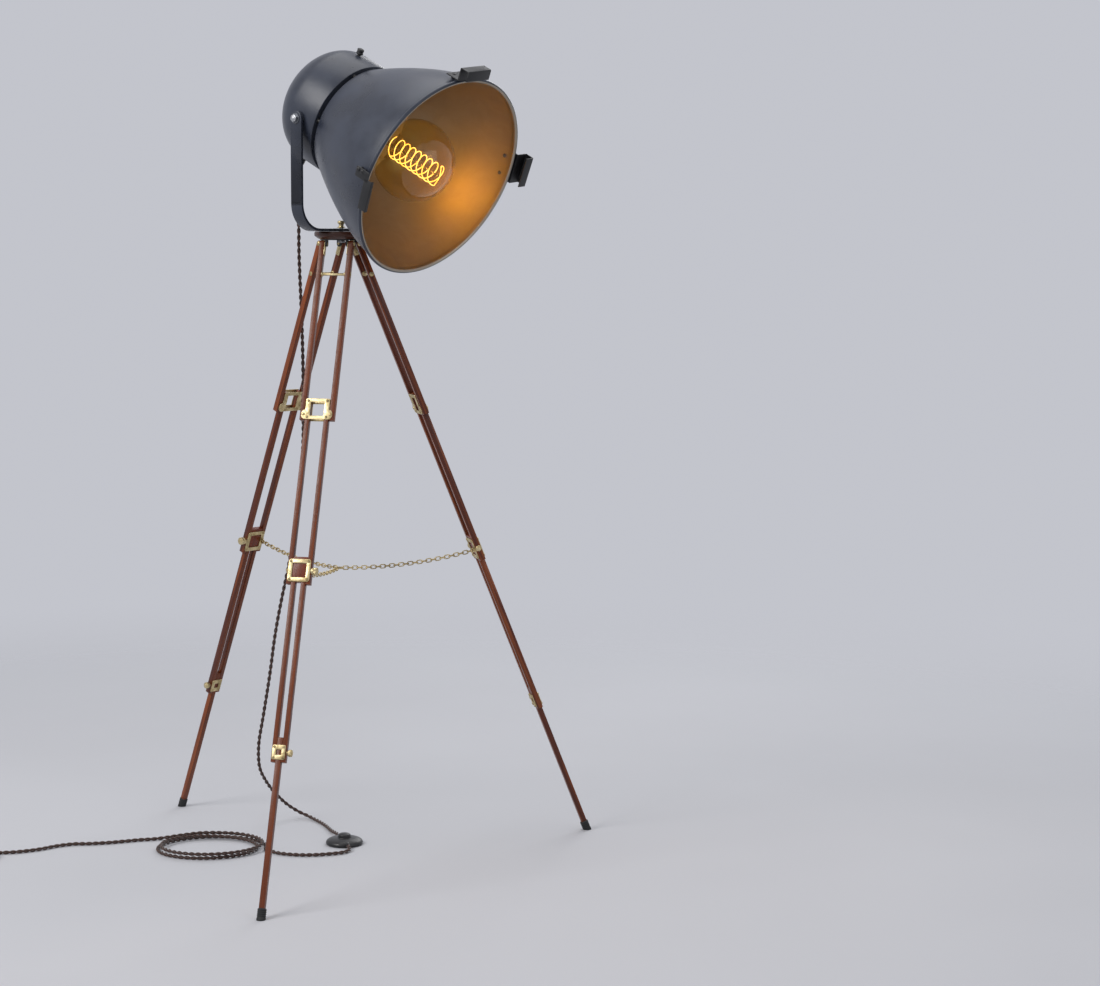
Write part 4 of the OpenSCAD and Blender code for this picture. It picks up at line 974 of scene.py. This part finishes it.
def makeCrown():
    size, piece = crown, bmesh.new()
    r, t = size.radius, size.thick
    outline = [(size.bolt, 0), (r - 9, 0), (r - 7.6, 0.5), (r - 2.2, 4.4), (r - 0.8, 5.6), (r, 7), (r, t - 3),
               (r - 0.5, t - 1.4), (r - 1.6, t - 0.4), (r - 3, t), (size.bolt, t)]
    addPart(piece, startTurned(outline, 96), move(z=size.top - t))
    finishPiece("crownDisc", piece, crownPlace, "crown", ["darkWood"], ["crown_disc"],
                spaceTurn=turn(90, "Y"), shift=14)


def makeBracket():
    size, screws, piece = crown, crownScrews, bmesh.new()
    low = size.top - size.thick - size.plate
    holes = [circleOutline(size.bolt)] + [circleOutline(2.1, polar(screws.radius, a), 14) for a in screws.angles]
    plate = startPlate(circleOutline(size.plateRadius, count=72), size.plate, holes, [0] * 72)
    roundEdges(plate, 0.4, 2)
    addPart(piece, plate, crownPlace @ move(z=low))
    for angle in screws.angles:
        screw = startScrewHead(3.4, 1.5, angle)
        addPart(piece, screw, crownPlace @ move(*polar(screws.radius, angle), low + 0.1) @ turn(180, "X"), 1)
    up = low + size.plate / 2 - tripod.hingeHeight
    for azimuth in tripod.legs.values():
        for side in bothSides:
            ear = startPlate([(-6, -6), (6, -6), (6, up), (-6, up)], size.ear, (), (5.9, 5.9, 0, 0))
            roundEdges(ear, 0.4, 2)
            addPart(piece, ear, hingePlace(azimuth) @ move(side * size.earX - size.ear / 2) @ turn(90, "Z")
                    @ turn(90, "X"))
    piece.transform(toMetres.inverted())
    # Painted shade: the bracket takes the black paint so its ears stay as dark as the shaded place under the disc
    finishPiece("crownBracket", piece, toMetres, "crown", ["black", "oldBrass"], ["crown_bracket"])


def makeHingePins():
    size, piece = crown, bmesh.new()
    for azimuth in tripod.legs.values():
        for side in bothSides:
            place = hingePlace(azimuth) @ turn(90 * side, "Y")
            addPart(piece, startRod(size.pin, size.earX - 2.4, 34.2, 24), place)
            addPart(piece, startTurned([(0, 34), (4.5, 34), (4.4, 34.7), (3.4, 35.5), (1.8, 35.95), (0, 36.1)], 28),
                    place)
    piece.transform(toMetres.inverted())
    finishPiece("hingePins", piece, toMetres, "crown", ["oldBrass"], ["hinge_pins"])


def makeStudAndKnob():
    size, piece = panStud, bmesh.new()
    low, radius = crown.top - crown.thick - crown.plate, crown.bolt
    addPart(piece, roundEdges(startRod(size.hex, low - size.head, low, 6), 0.5, 2))
    thread = [(0, low - 1), (radius, low - 1), (radius, size.threadFrom)]
    for i in range(size.turns):
        root = size.threadFrom + 0.7 + i * size.pitch
        thread += [(radius - 0.4, root), (radius, root + 0.7)]
    addPart(piece, startTurned(thread + [(radius - 0.6, size.end), (0, size.end)], 32))
    finishPiece("panStud", piece, crownPlace, "crown", ["steel"], ["pan_stud"])
    piece = bmesh.new()
    outline = [(4.1, 0), (8, 0), (8, 1.2), (7.2, 1.8), (5.2, 2.6), (4.7, 4), (4.7, 6.6), (5.4, 8.2), (7, 9),
               (7.2, 10), (7.2, 12.4), (6.6, 13.4), (5.2, 14), (0, 14), (0, 11.5), (4.1, 11.5)]
    addPart(piece, startTurned(outline, 48), move(z=size.knobAt))
    finishPiece("panKnob", piece, crownPlace, "pan_knob", ["brass"], ["pan_knob"])


yoke = Sizes(width=28, thick=5.5, half=118.5, bottom=1220.1, bend=52, top=1431.6, edge=0.9)


def makeYoke():
    size, piece = yoke, bmesh.new()
    x, t, outer = size.width / 2, size.thick, size.half + size.thick
    corner, low = outer - size.bend, size.bottom
    section = piece.faces.new([piece.verts.new(c) for c in ((-x, 0, low), (x, 0, low), (x, 0, low + t),
                                                            (-x, 0, low + t))])
    straight = bmesh.ops.extrude_face_region(piece, geom=[section])["geom"]
    bmesh.ops.translate(piece, verts=only(straight, bmesh.types.BMVert), vec=(0, corner, 0))
    end = only(straight, bmesh.types.BMFace)
    bent = bmesh.ops.spin(piece, geom=end, cent=(0, corner, low + size.bend), axis=(1, 0, 0), dvec=(0, 0, 0),
                          angle=math.pi / 2, steps=14, use_merge=False, use_duplicate=False)["geom_last"]
    arm = bmesh.ops.extrude_face_region(piece, geom=only(bent, bmesh.types.BMFace))["geom"]
    up = size.top + x - low - size.bend
    bmesh.ops.translate(piece, verts=only(arm, bmesh.types.BMVert), vec=(0, 0, up))
    start = [f for f in piece.faces if all(abs(v.co.y) < 0.01 for v in f.verts)]
    bmesh.ops.delete(piece, geom=start, context="FACES")
    bmesh.ops.mirror(piece, geom=wholeOf(piece), matrix=Matrix.Identity(4), merge_dist=0.01, axis="Y")
    tidy(piece)
    tips = [e for e in piece.edges if all(v.co.z > size.top + x - 0.1 for v in e.verts) and rise(e, 0) < 0.01]
    roundEdges(piece, x - 0.05, 10, tips)
    roundEdges(piece, size.edge, 3, [e for e in piece.edges if e.calc_face_angle(0) > math.radians(50)])
    finishPiece("yokeBar", piece, yokePlace, "yoke", ["slate"], ["yoke"])


for make in (makeCrown, makeBracket, makeHingePins, makeStudAndKnob, makeYoke):
    make()
print("crown and yoke made")

# The head: spun shell and dome, with the gap between them
shell = Sizes(rim=196.8, neck=115, start=8, depth=227.6, sheet=1.5, bead=4, power=1.47, steps=26, segments=144)
dome = Sizes(radius=115, front=238.2, bend=300.8, back=380.4, flange=98, sheet=1.5, steps=18)


def shellRadius(share):
    return shell.rim - (shell.rim - shell.neck) * share ** shell.power


def makeShell():
    size, piece = shell, bmesh.new()
    span, steps = size.depth - size.start, size.steps
    wall = [(shellRadius(i / steps), size.start + span * i / steps) for i in range(steps + 1)]
    inner = [(radius - size.sheet, depth) for radius, depth in reversed(wall)]
    bead = [polar(size.bead, a, (size.rim, size.bead)) for a in range(118, 440, 20)]
    part = startTurned(inner + bead + wall, size.segments)
    for face in part.faces:  # the reflecting side is bare metal
        middle = face.calc_center_median()
        inward = face.normal.x * middle.x + face.normal.y * middle.y < 0
        face.material_index = 1 if inward else 0
    addPart(piece, part, None, None)
    finishPiece("reflectorShell", piece, turnedPlace, "head", ["slate", "aluminium"], ["reflector_shell"],
                smooth=55)


def domeWall(inset):
    size = dome
    points = [(size.radius - inset, size.front + inset)]
    for i in range(size.steps + 1):
        angle = math.pi / 2 * i / size.steps
        points.append(((size.radius - inset) * math.cos(angle),
                       size.bend + (size.back - size.bend - inset) * math.sin(angle)))
    return points


def makeDome():
    size, piece = dome, bmesh.new()
    outer = domeWall(0)
    x, z = outer[0]
    corner = [(x - 1.2, z), (x - 0.35, z + 0.35), (x, z + 1.2)]
    outline = [(size.flange, size.front)] + corner + outer[1:] + domeWall(size.sheet)[::-1] + [(size.flange,
            size.front + size.sheet)]
    addPart(piece, startTurned(outline, 120))
    finishPiece("rearDome", piece, turnedPlace, "head", ["slate"], ["rear_dome"], smooth=50)


backPlate = Sizes(radius=113.8, thick=2, hole=21, vent=6, ventRadius=70, postRadius=106.5)


def makeBackPlate():
    size, piece = backPlate, bmesh.new()
    holes = [circleOutline(size.hole, count=36)]
    for i in range(12):
        holes.append(circleOutline(size.vent, polar(size.ventRadius, i * 30 + 15), 16))
    plate = startPlate(circleOutline(size.radius, count=96), size.thick, holes, [0] * 96)
    addPart(piece, roundEdges(plate, 0.3, 1), move(z=shell.depth - 4))
    finishPiece("backPlate", piece, turnedPlace, "head", ["plate"], ["back_plate"])
    piece = bmesh.new()
    for i in range(6):
        post = startTurned([(0, 0), (4.5, 0), (4.5, 0.6), (3.9, 1.1), (3.9, 11.5), (4.5, 12), (4.5, 12.6), (0, 12.6)],
                           24)
        addPart(piece, post, turn(i * 60 + 30, "Z") @ move(size.postRadius, 0, shell.depth - 2))
    finishPiece("ventSpacers", piece, turnedPlace, "head", ["black"], ["vent_spacers"])


def makeLampholder():
    piece = bmesh.new()
    outline = [(14, 188.4), (14.6, 188), (19, 188), (20.4, 188.6), (21, 190), (21, 193), (20.2, 194), (20.2, 213),
               (21, 214), (21, 219.3),
               (29, 220.1), (30, 220.9), (30, 223.1), (29.4, 223.6), (21, 223.6), (21, 245), (20, 246.4), (17, 250),
               (5, 250), (5, 222), (14, 222)]
    addPart(piece, startTurned(outline, 64))
    finishPiece("lampholder", piece, turnedPlace, "head", ["ceramic"], ["lampholder"])


# The globe bulb, a glass stem in it, and two strands of one glowing wire
bulb = Sizes(radius=78, middle=75, neckAngle=26, neck=16, neckEnd=187.6, wall=1.0, steps=30)
filament = Sizes(turns=4, rings=40, start=10, length=124, radius=20, wire=0.9)


def bulbWall(inset):
    size, points = bulb, []
    for i in range(size.steps + 1):
        angle = math.radians(180 - (180 - size.neckAngle) * i / size.steps)
        points.append(((size.radius - inset) * math.sin(angle),
                       size.middle + (size.radius - inset) * math.cos(angle)))
    wide = size.radius * math.sin(math.radians(size.neckAngle))
    low = size.middle + size.radius * math.cos(math.radians(size.neckAngle))
    for i in range(1, 13):
        share = i / 12
        narrowing = (1 + math.cos(math.pi * share ** 0.72)) / 2
        points.append((size.neck - inset + (wide - size.neck) * narrowing, low + share * (size.neckEnd - low)))
    return points


def makeBulb():
    piece = bmesh.new()
    addPart(piece, startTurned(bulbWall(0) + bulbWall(bulb.wall)[::-1], 96))
    finishPiece("bulbGlass", piece, turnedPlace, "head", ["amber"], ["bulb_glass"], smooth=80)
    piece = bmesh.new()
    cap = [(0, bulb.neckEnd), (15.4, bulb.neckEnd), (15.4, bulb.neckEnd + 1)]
    for i in range(12):
        cap += [(13.0, 189 + i * 1.9), (13.7, 189.95 + i * 1.9)]
    addPart(piece, startTurned(cap + [(13.0, 211.6), (11.5, 213), (5, 216), (4.5, 218), (0, 218)], 48))
    finishPiece("bulbCap", piece, turnedPlace, "head", ["nickel"], ["bulb_cap"])
    piece = bmesh.new()
    stem = [(0, 186), (11, 186), (9, 178), (5.2, 166), (4.4, 150), (3.2, 140), (1.6, 134), (1.5, 18), (2.4, 13),
            (1.6, 9), (0, 8)]
    addPart(piece, startTurned(stem, 32))
    finishPiece("bulbStem", piece, turnedPlace, "head", ["clearGlass"], smooth=70)
    piece = bmesh.new()
    for side in bothSides:  # leads from the stem to the wire's ends, and a hook that holds its front
        lead = startRod(0.45, 0, math.hypot(17, 14), 10)
        addPart(piece, lead, move(side * 3, 0, 148) @ turn(side * math.degrees(math.atan2(17, -14)), "Y"))
    for angle, height in ((90, 70), (270, 52)):
        addPart(piece, startRod(0.35, 0, 19.4, 8), move(z=height) @ turn(angle, "Z") @ turn(90, "Y"))
    finishPiece("bulbLeads", piece, turnedPlace, "head", ["nickel"])


def makeFilament():
    size = filament
    count = size.turns * size.rings

    def strandPoint(i, side):
        angle = side + i * math.tau / size.rings
        return Vector((size.radius * math.cos(angle), size.radius * math.sin(angle),
                       size.start + i * size.length / count))

    line = [strandPoint(i, 0) for i in range(count, -1, -1)]
    front = Vector((0, 0, size.start - 5))
    line += smoothRoute([strandPoint(0, 0), front, strandPoint(0, math.pi)], 8)[1:-1]
    line += [strandPoint(i, math.pi) for i in range(count + 1)]
    mesh = wireMesh("filament", [line], size.wire)
    piece = bmesh.new()
    piece.from_mesh(mesh)
    bpy.data.meshes.remove(mesh)
    for layer in list(piece.loops.layers.uv.values()):
        piece.loops.layers.uv.remove(layer)
    tidy(piece)
    finishPiece("filament", piece, turnedPlace, "head", ["glow"], ["bulb_filament"], smooth=80)


# Two channels on the rim for a colour frame and a low strip opposite, each on a foot riveted over the bead
clip = Sizes(channels=(7, 98), strip=190, sheet=2, foot=30, stand=26, reach=21, lip=20, low=201.1, length=60,
             stripReach=16, stripLip=4, stripFoot=28)
rivets = [(angle, 22, along) for angle in clip.channels for along in (-18, 18)] + [(clip.strip, depth,
        -38) for depth in (13, 23)]


def startChannel():
    size, t = clip, clip.sheet
    foot, stand, reach, lip = size.foot, size.stand, size.reach, size.stand - size.lip
    outline = [(-foot, 0), (t, 0), (t, stand - t), (reach - t, stand - t), (reach - t, lip), (reach, lip),
               (reach, stand), (0, stand), (0, t), (-foot, t)]
    part = startPlate(outline, size.length, (), (0.9, 0.1, 0.7, 0.7, 0.3, 0.9, 2.2, 2.2, 0.8, 0.9))
    return roundEdges(part, 0.4, 2, angle=45)


def startStrip():
    size, t = clip, clip.sheet
    reach, lip = size.stripReach, size.stripLip
    outline = [(-4, 0), (reach - t, 0), (reach - t, -lip), (reach, -lip), (reach, t), (-4, t)]
    part = startPlate(outline, size.length, (), (0.6, 0.2, 0.6, 0.6, 1.6, 0.6))
    return roundEdges(part, 0.4, 2, angle=45)


def makeClips():
    size, piece = clip, bmesh.new()
    t, half = size.sheet, size.length / 2
    for angle in size.channels:
        addPart(piece, startChannel(), turn(angle, "X") @ move(0, size.low, -half))
    strip = turn(size.strip, "X")
    addPart(piece, startStrip(), strip @ move(0, size.low, -half))
    foot = startBox((size.stripFoot + 6, t, 20), (3 - size.stripFoot / 2, size.low + t / 2, -half - 4))
    roundEdges(foot, 3, 4, [e for e in foot.edges if rise(e, 1) > 1])
    addPart(piece, roundEdges(foot, 0.4, 2, angle=45), strip)
    for angle, depth, along in rivets:
        out = turn(angle, "X") @ move(-depth, 0, along) @ turn(-90, "X")
        share = (depth - shell.start) / (shell.depth - shell.start)
        wall = math.sqrt(shellRadius(share) ** 2 - along ** 2)
        addPart(piece, startRod(2, wall - 4, size.low + 0.5, 20), out)
        inside = startTurned([(0, 0), (3.6, 0), (3.6, 0.5), (2.8, 1.3), (1.6, 1.8), (0, 1.9)], 24)
        addPart(piece, inside, out @ move(z=wall - 3) @ turn(180, "X"), 1)
        low, high = wall + 0.8, size.low + 0.2
        addPart(piece, startTurned([(0, low), (3.6, low), (3.6, high), (0, high)], 24), out)
        outside = startTurned([(0, 0), (4.2, 0), (4.0, 0.7), (2.7, 1.4), (0, 1.65)], 24)
        addPart(piece, outside, out @ move(z=size.low + t - 0.05))
    finishPiece("frameClips", piece, rimPlace, "head", ["black", "darkSteel"], ["frame_clips"])


trunnion = Sizes(bolt=4, hex=7.5, washer=12, outer=124, inner=118.5)


def makeTrunnion():
    size, piece = trunnion, bmesh.new()
    for side in (0, 180):
        out = turn(side, "Z") @ turn(-90, "X")  # Z now runs out along the trunnion
        cap = startRod(size.hex, 0, 5.1, 6)
        cap.transform(turn(12 if side else 41, "Z"))
        addPart(piece, roundEdges(cap, 0.6, 2), out @ move(z=size.outer + 1.9))
        tip = startTurned([(0, 0), (4.3, 0), (4.3, 0.9), (3.3, 1.7), (1.8, 2.1), (0, 2.2)], 28)
        addPart(piece, tip, out @ move(z=size.outer + 6.6))
        washer = startTurned([(4.2, 0.3), (9.6, 0.3), (10, 0.6), (10, 1.5), (9.6, 1.9), (4.2, 1.9)], 40)
        addPart(piece, washer, out @ move(z=size.outer), 1)
        addPart(piece, startRod(size.bolt, 98, size.outer + 2, 24), out)
        addPart(piece, roundEdges(startRod(size.hex, 102, 110.3, 6), 0.5, 2), out)
        wide, inner = size.washer, size.inner
        packing = [(4.2, 113), (wide, 113), (wide, inner - 0.8), (wide - 0.5, inner - 0.3), (4.2, inner - 0.3)]
        addPart(piece, startTurned(packing, 40), out, 1)
    finishPiece("trunnionBolts", piece, headPlace, "head", ["steel", "darkSteel"], ["trunnion_bolts"])


topKnob = Sizes(x=-12, stem=3.5, low=106, head=118)


def makeGlandAndKnob():
    size, piece = gland, bmesh.new()
    down = move(size.x) @ turn(180, "X")
    addPart(piece, startRod(6, size.inside, size.seat + 1, 28), down)
    nut = startRod(10, size.seat, size.seat + 6, 6)
    addPart(piece, roundEdges(nut, 0.6, 2), down)
    outline = [(0, size.seat + 5.5), (7.5, size.seat + 5.5)]
    for i in range(size.ribs):  # the tapered relief has grooves
        low = size.seat + 7.5 + i * 4.2
        wide = 7.3 - 0.55 * i
        outline += [(wide, low), (wide - 0.2, low + 1.9), (wide - 1.1, low + 2.3), (wide - 1.2, low + 3.3)]
    outline += [(5.0, size.end - 1.4), (4.6, size.end - 0.3), (3.9, size.end), (0, size.end)]
    addPart(piece, startTurned(outline, 36), down)
    finishPiece("cordGland", piece, headPlace, "head", ["plastic"], ["cord_gland"])
    piece = bmesh.new()
    place = move(topKnob.x, 0, head.axisAbove)
    addPart(piece, startRod(topKnob.stem, topKnob.low, topKnob.head + 2, 24), place)
    outline = [(0, 0), (5.8, 0), (6.8, 0.7), (7, 1.6), (7, 2.6), (6.4, 3.2), (6.4, 7.4), (7, 8), (6.9, 9), (6, 10.2),
               (4.4, 10.8), (2.4, 11), (0, 11)]
    addPart(piece, startTurned(outline, 36), place @ move(z=topKnob.head))
    finishPiece("domeKnob", piece, headPlace, "head", ["black"], ["dome_knob"])


for make in (makeShell, makeDome, makeBackPlate, makeLampholder, makeBulb, makeFilament, makeClips, makeTrunnion,
             makeGlandAndKnob):
    make()
print("head made")

# Chains of long links, every other one turned a quarter, from the eyes to one ring
chain = Sizes(link=14, width=9, wire=2, ringRadius=9, ringWire=2.4, ringAt=(-8, 0, 563), sag=9)


def eyePoint(azimuth):
    down, out = clampFitting.at, clampFitting.depth / 2 + fitting.plate + 5
    reach = tripod.hingeRadius + down * math.sin(lean) - out * math.cos(lean)
    a, x = math.radians(azimuth), clampFitting.eyeX
    return Vector((reach * math.cos(a) + x * math.sin(a), reach * math.sin(a) - x * math.cos(a),
                   tripod.hingeHeight - down * math.cos(lean) - out * math.sin(lean)))


def makeLink():
    size = chain
    part = startRing((size.width - size.wire) / 2, size.wire, 28, 10)
    straight = (size.link - size.width) / 2
    for vert in part.verts:  # pulled out into a long link
        if abs(vert.co.x) > 0.01:
            vert.co.x += math.copysign(straight, vert.co.x)
    return part


def makeChain(leg, azimuth):
    size, piece = chain, bmesh.new()
    eye, ring = eyePoint(azimuth), Vector(size.ringAt)
    level = Vector((ring.x - eye.x, ring.y - eye.y, 0)).normalized()
    span = ring - level * size.ringRadius - eye
    reach, first = span.length, 5
    last = reach - (size.link - 2 * size.wire - size.ringWire) / 2 + 0.1
    pitch = size.link - 2 * size.wire - 0.2
    count = 2 * math.ceil(((last - first) / pitch + 1) / 2)
    for i in range(count):
        share = (first + (last - first) * i / (count - 1)) / reach
        slope = span - Vector((0, 0, size.sag * 4 * (1 - 2 * share)))
        spot = eye + share * span - Vector((0, 0, size.sag * 4 * share * (1 - share)))
        along = (Matrix.Translation(spot) @ Matrix.Rotation(math.atan2(slope.y, slope.x), 4, "Z")
                 @ Matrix.Rotation(-math.asin(slope.z / slope.length), 4, "Y") @ turn(0 if i % 2 == 0 else 90, "X"))
        addPart(piece, makeLink(), along)
    bend = {"body": leg + "_leg", "start": tuple(crownPlace @ ring), "end": tuple(crownPlace @ eye)}
    finishPiece(leg + "Chain", piece, crownPlace, "crown", ["oldBrass"], [leg + "_chain"], smooth=80,
                bend=bend)


for leg, azimuth in tripod.legs.items():
    makeChain(leg, azimuth)
ringPiece = bmesh.new()
addPart(ringPiece, startRing(chain.ringRadius, chain.ringWire, 48, 12), Matrix.Translation(chain.ringAt))
finishPiece("chainRing", ringPiece, crownPlace, "crown", ["oldBrass"], ["chain_ring"], smooth=80)
print("chains made")

# Round foot switch with its button, and the plug
footSwitch = Sizes(radius=37, height=14.5, edge=4, button=12.5, port=4.8, portReach=42, portHeight=6.5, well=2)


def makeSwitch():
    size, piece = footSwitch, bmesh.new()
    radius, button, edge, top = size.radius, size.button, size.edge, size.height
    collarRadius = button + 2
    outline = [(0, 0), (radius - 2.4, 0), (radius - 1.6, 0.5), (radius - 0.9, 1.3), (radius - 0.5, 1.7),
               (radius - 0.1, 2.6)]
    for angle in range(0, 85, 6):
        a = math.radians(angle)
        outline.append((collarRadius + (radius - collarRadius) * math.cos(a), edge + (top - 0.6 - edge) * math.sin(a)))
    outline += [(button + 1.9, top - 0.5), (button + 1.6, top), (button + 0.7, top), (button + 0.3, top - 0.5),
                (button + 0.3, size.well), (0, size.well)]
    addPart(piece, startTurned(outline, 72))
    reach, port = size.portReach, size.port
    for angle in (switchPlace.inAngle, switchPlace.outAngle):
        sleeve = [(0, 25), (port, 25), (port, reach - 6.4), (port - 0.2, reach - 5.8), (port - 0.8, reach - 5.6),
                  (port - 0.8, reach - 4.8),
                  (port - 0.4, reach - 4.5), (port - 0.5, reach - 3.6), (port - 1, reach - 3.3),
                  (port - 1, reach - 2.6), (port - 0.6, reach - 2.3),
                  (port - 0.7, reach - 0.6), (port - 1.1, reach), (0, reach)]
        addPart(piece, startTurned(sleeve, 28), turn(angle, "Z") @ move(z=size.portHeight) @ turn(90, "Y"))
    place = crownPlace @ Matrix.Translation((switchPlace.at[0] * 1000, switchPlace.at[1] * 1000, 0))
    finishPiece("switchBase", piece, place, "crown", ["plastic"], ["switch_base"])
    piece = bmesh.new()
    crest = [(0, 0), (button - 0.4, 0), (button, 0.4), (button, 12)]
    crest += [(button * math.cos(math.radians(a)), 12 + 4.5 * math.sin(math.radians(a))) for a in (12, 24, 36, 48, 60,
            75)]
    addPart(piece, startTurned(crest + [(0, 16.5)], 48), move(z=6.3))
    finishPiece("switchButton", piece, place, "switch_button", ["plastic"], ["switch_button"])


plug = Sizes(width=30, length=34, relief=24, pinGap=9.5, pin=2, pinLength=19)


def makePlug():
    size, piece = plug, bmesh.new()
    thick = 2 * coilEnd[2] * 1000
    body = startBox((thick, size.width, size.length), (0, 0, size.relief + size.length / 2))
    roundEdges(body, 6, 6, [e for e in body.edges if rise(e, 2) > 1])
    roundEdges(body, 1.4, 3, sharpEdges(body, 60))
    addPart(piece, body)
    for side in bothSides:  # grip ribs across both flat sides
        for i in range(6):
            rib = startBox((0.7, size.width - 15, 1.5), (side * (thick / 2 - 0.35), 0, size.relief + 9 + i * 3.2))
            addPart(piece, roundEdges(rib, 0.25, 2))
    outline = [(0, 0), (4.4, 0)]
    for i in range(5):
        low, wide = 1.5 + i * 4.3, 4.8 + 0.62 * i
        outline += [(wide, low), (wide + 0.35, low + 2.2), (wide - 0.7, low + 2.6), (wide - 0.6, low + 3.6)]
    outline += [(8, 22.6), (8.2, size.relief + 2), (0, size.relief + 2)]
    addPart(piece, startTurned(outline, 36))
    for i in (-1, 0, 1):
        tip = size.relief + size.length
        end, radius = tip + size.pinLength, size.pin
        pin = [(0, tip - 2), (radius, tip - 2), (radius, end - 1.6), (1.6, end - 0.5), (0.9, end), (0, end)]
        addPart(piece, startTurned(pin, 24), move(0, i * size.pinGap), 1)
    place = crownPlace @ Matrix.Translation(tuple(1000 * c for c in coilEnd)) @ turn(-90, "Y")
    return finishPiece("mainsPlug", piece, place, "crown", ["plastic", "nickel"], ["plug"])


makeSwitch()
plugPiece = makePlug()
print("switch and plug made")

# Floor, lamps and world
studio = Sizes(floor=(0.60, 0.61, 0.66), backdrop=(0.545, 0.556, 0.605), radius=9, fadeFrom=0.9, fadeTo=3.4, key=92,
               fill=14, top=26, back=34, world=0.36)


def makeFloor():
    ground = bmesh.new()
    bmesh.ops.create_circle(ground, cap_ends=True, segments=96, radius=studio.radius)
    mesh = bpy.data.meshes.new("studioFloor")
    ground.to_mesh(mesh)
    ground.free()
    made = bpy.data.objects.new("studioFloor", mesh)
    made.location.z = -0.0003
    bpy.context.scene.collection.objects.link(made)
    material = bpy.data.materials.new("studioFloor")
    material.use_nodes = True
    tree = material.node_tree
    tree.nodes.clear()
    place = put(tree, "TexCoord").outputs["Object"]
    shader = put(tree, "BsdfPrincipled", Roughness=0.75)
    clouds = mapRange(tree, noise(tree, place, 0.7, 3, 0.5), 0.3, 0.7, 0.97, 1.03)
    feed(tree, shader.inputs["Base Color"], scaleColour(tree, studio.floor, clouds))
    away = put(tree, "VectorMath", {"operation": "LENGTH"}, i0=place).outputs["Value"]
    fade = mapRange(tree, away, studio.fadeFrom, studio.fadeTo)
    mixed = put(tree, "MixShader", i0=fade, i1=shader.outputs[0], i2=put(tree, "BsdfTransparent").outputs[0])
    tree.links.new(mixed.outputs[0], put(tree, "OutputMaterial").inputs[0])
    mesh.materials.append(material)


def addLamp(name, power, size, place, aim, colour=(1, 1, 1)):
    data = bpy.data.lights.new(name, "AREA")
    data.energy, data.size, data.color = power, size, colour
    lamp = bpy.data.objects.new(name, data)
    lamp.location = place
    lamp.rotation_euler = (Vector(aim) - Vector(place)).to_track_quat("-Z", "Y").to_euler()
    bpy.context.scene.collection.objects.link(lamp)


def makeWorld():
    world = bpy.data.worlds.new("studioWorld")
    bpy.context.scene.world = world
    world.use_nodes = True
    tree = world.node_tree
    tree.nodes.clear()
    path = put(tree, "LightPath").outputs
    mirrored = doMath(tree, "MAXIMUM", path["Is Glossy Ray"], path["Is Transmission Ray"])
    seen = doMath(tree, "MAXIMUM", path["Is Camera Ray"], mirrored)
    light = put(tree, "Background", Color=(1.0, 1.0, 1.0), Strength=studio.world)
    backdrop = put(tree, "Background", Color=studio.backdrop, Strength=1.0)
    mixed = put(tree, "MixShader", i0=seen, i1=light.outputs[0], i2=backdrop.outputs[0])
    tree.links.new(mixed.outputs[0], put(tree, "OutputWorld").inputs[0])


makeFloor()
makeWorld()
middle = (tripod.axis[0], tripod.axis[1], 0.9)
addLamp("keyLamp", studio.key, 2.0, (-3.0, -1.8, 3.2), middle, (1.0, 0.98, 0.95))
addLamp("fillLamp", studio.fill, 2.2, (2.8, -2.6, 1.8), middle, (0.95, 0.97, 1.0))
addLamp("topLamp", studio.top, 2.4, (0.2, 0.4, 3.8), middle)
addLamp("backLamp", studio.back, 2.0, (1.6, 3.2, 2.4), middle)

# The bulb lights the reflector from a spot beside it, which gives the warm patch that the photograph shows
glow = Sizes(power=1.3, colour=(1.0, 0.38, 0.02), size=0.022, at=(-58, 112, -40))
glowLamp = bpy.data.lights.new("bulbGlow", "POINT")
glowLamp.energy, glowLamp.color, glowLamp.shadow_soft_size = glow.power, glow.colour, glow.size
glowObject = bpy.data.objects.new("bulbGlow", glowLamp)
bpy.context.scene.collection.objects.link(glowObject)
glowObject.location = (rimPlace @ Vector(glow.at)).to_tuple()
glowObject.visible_transmission = glowObject.visible_glossy = False
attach(glowObject, "head")
print("studio made")

view = bpy.context.scene.view_settings
view.view_transform = "Standard"
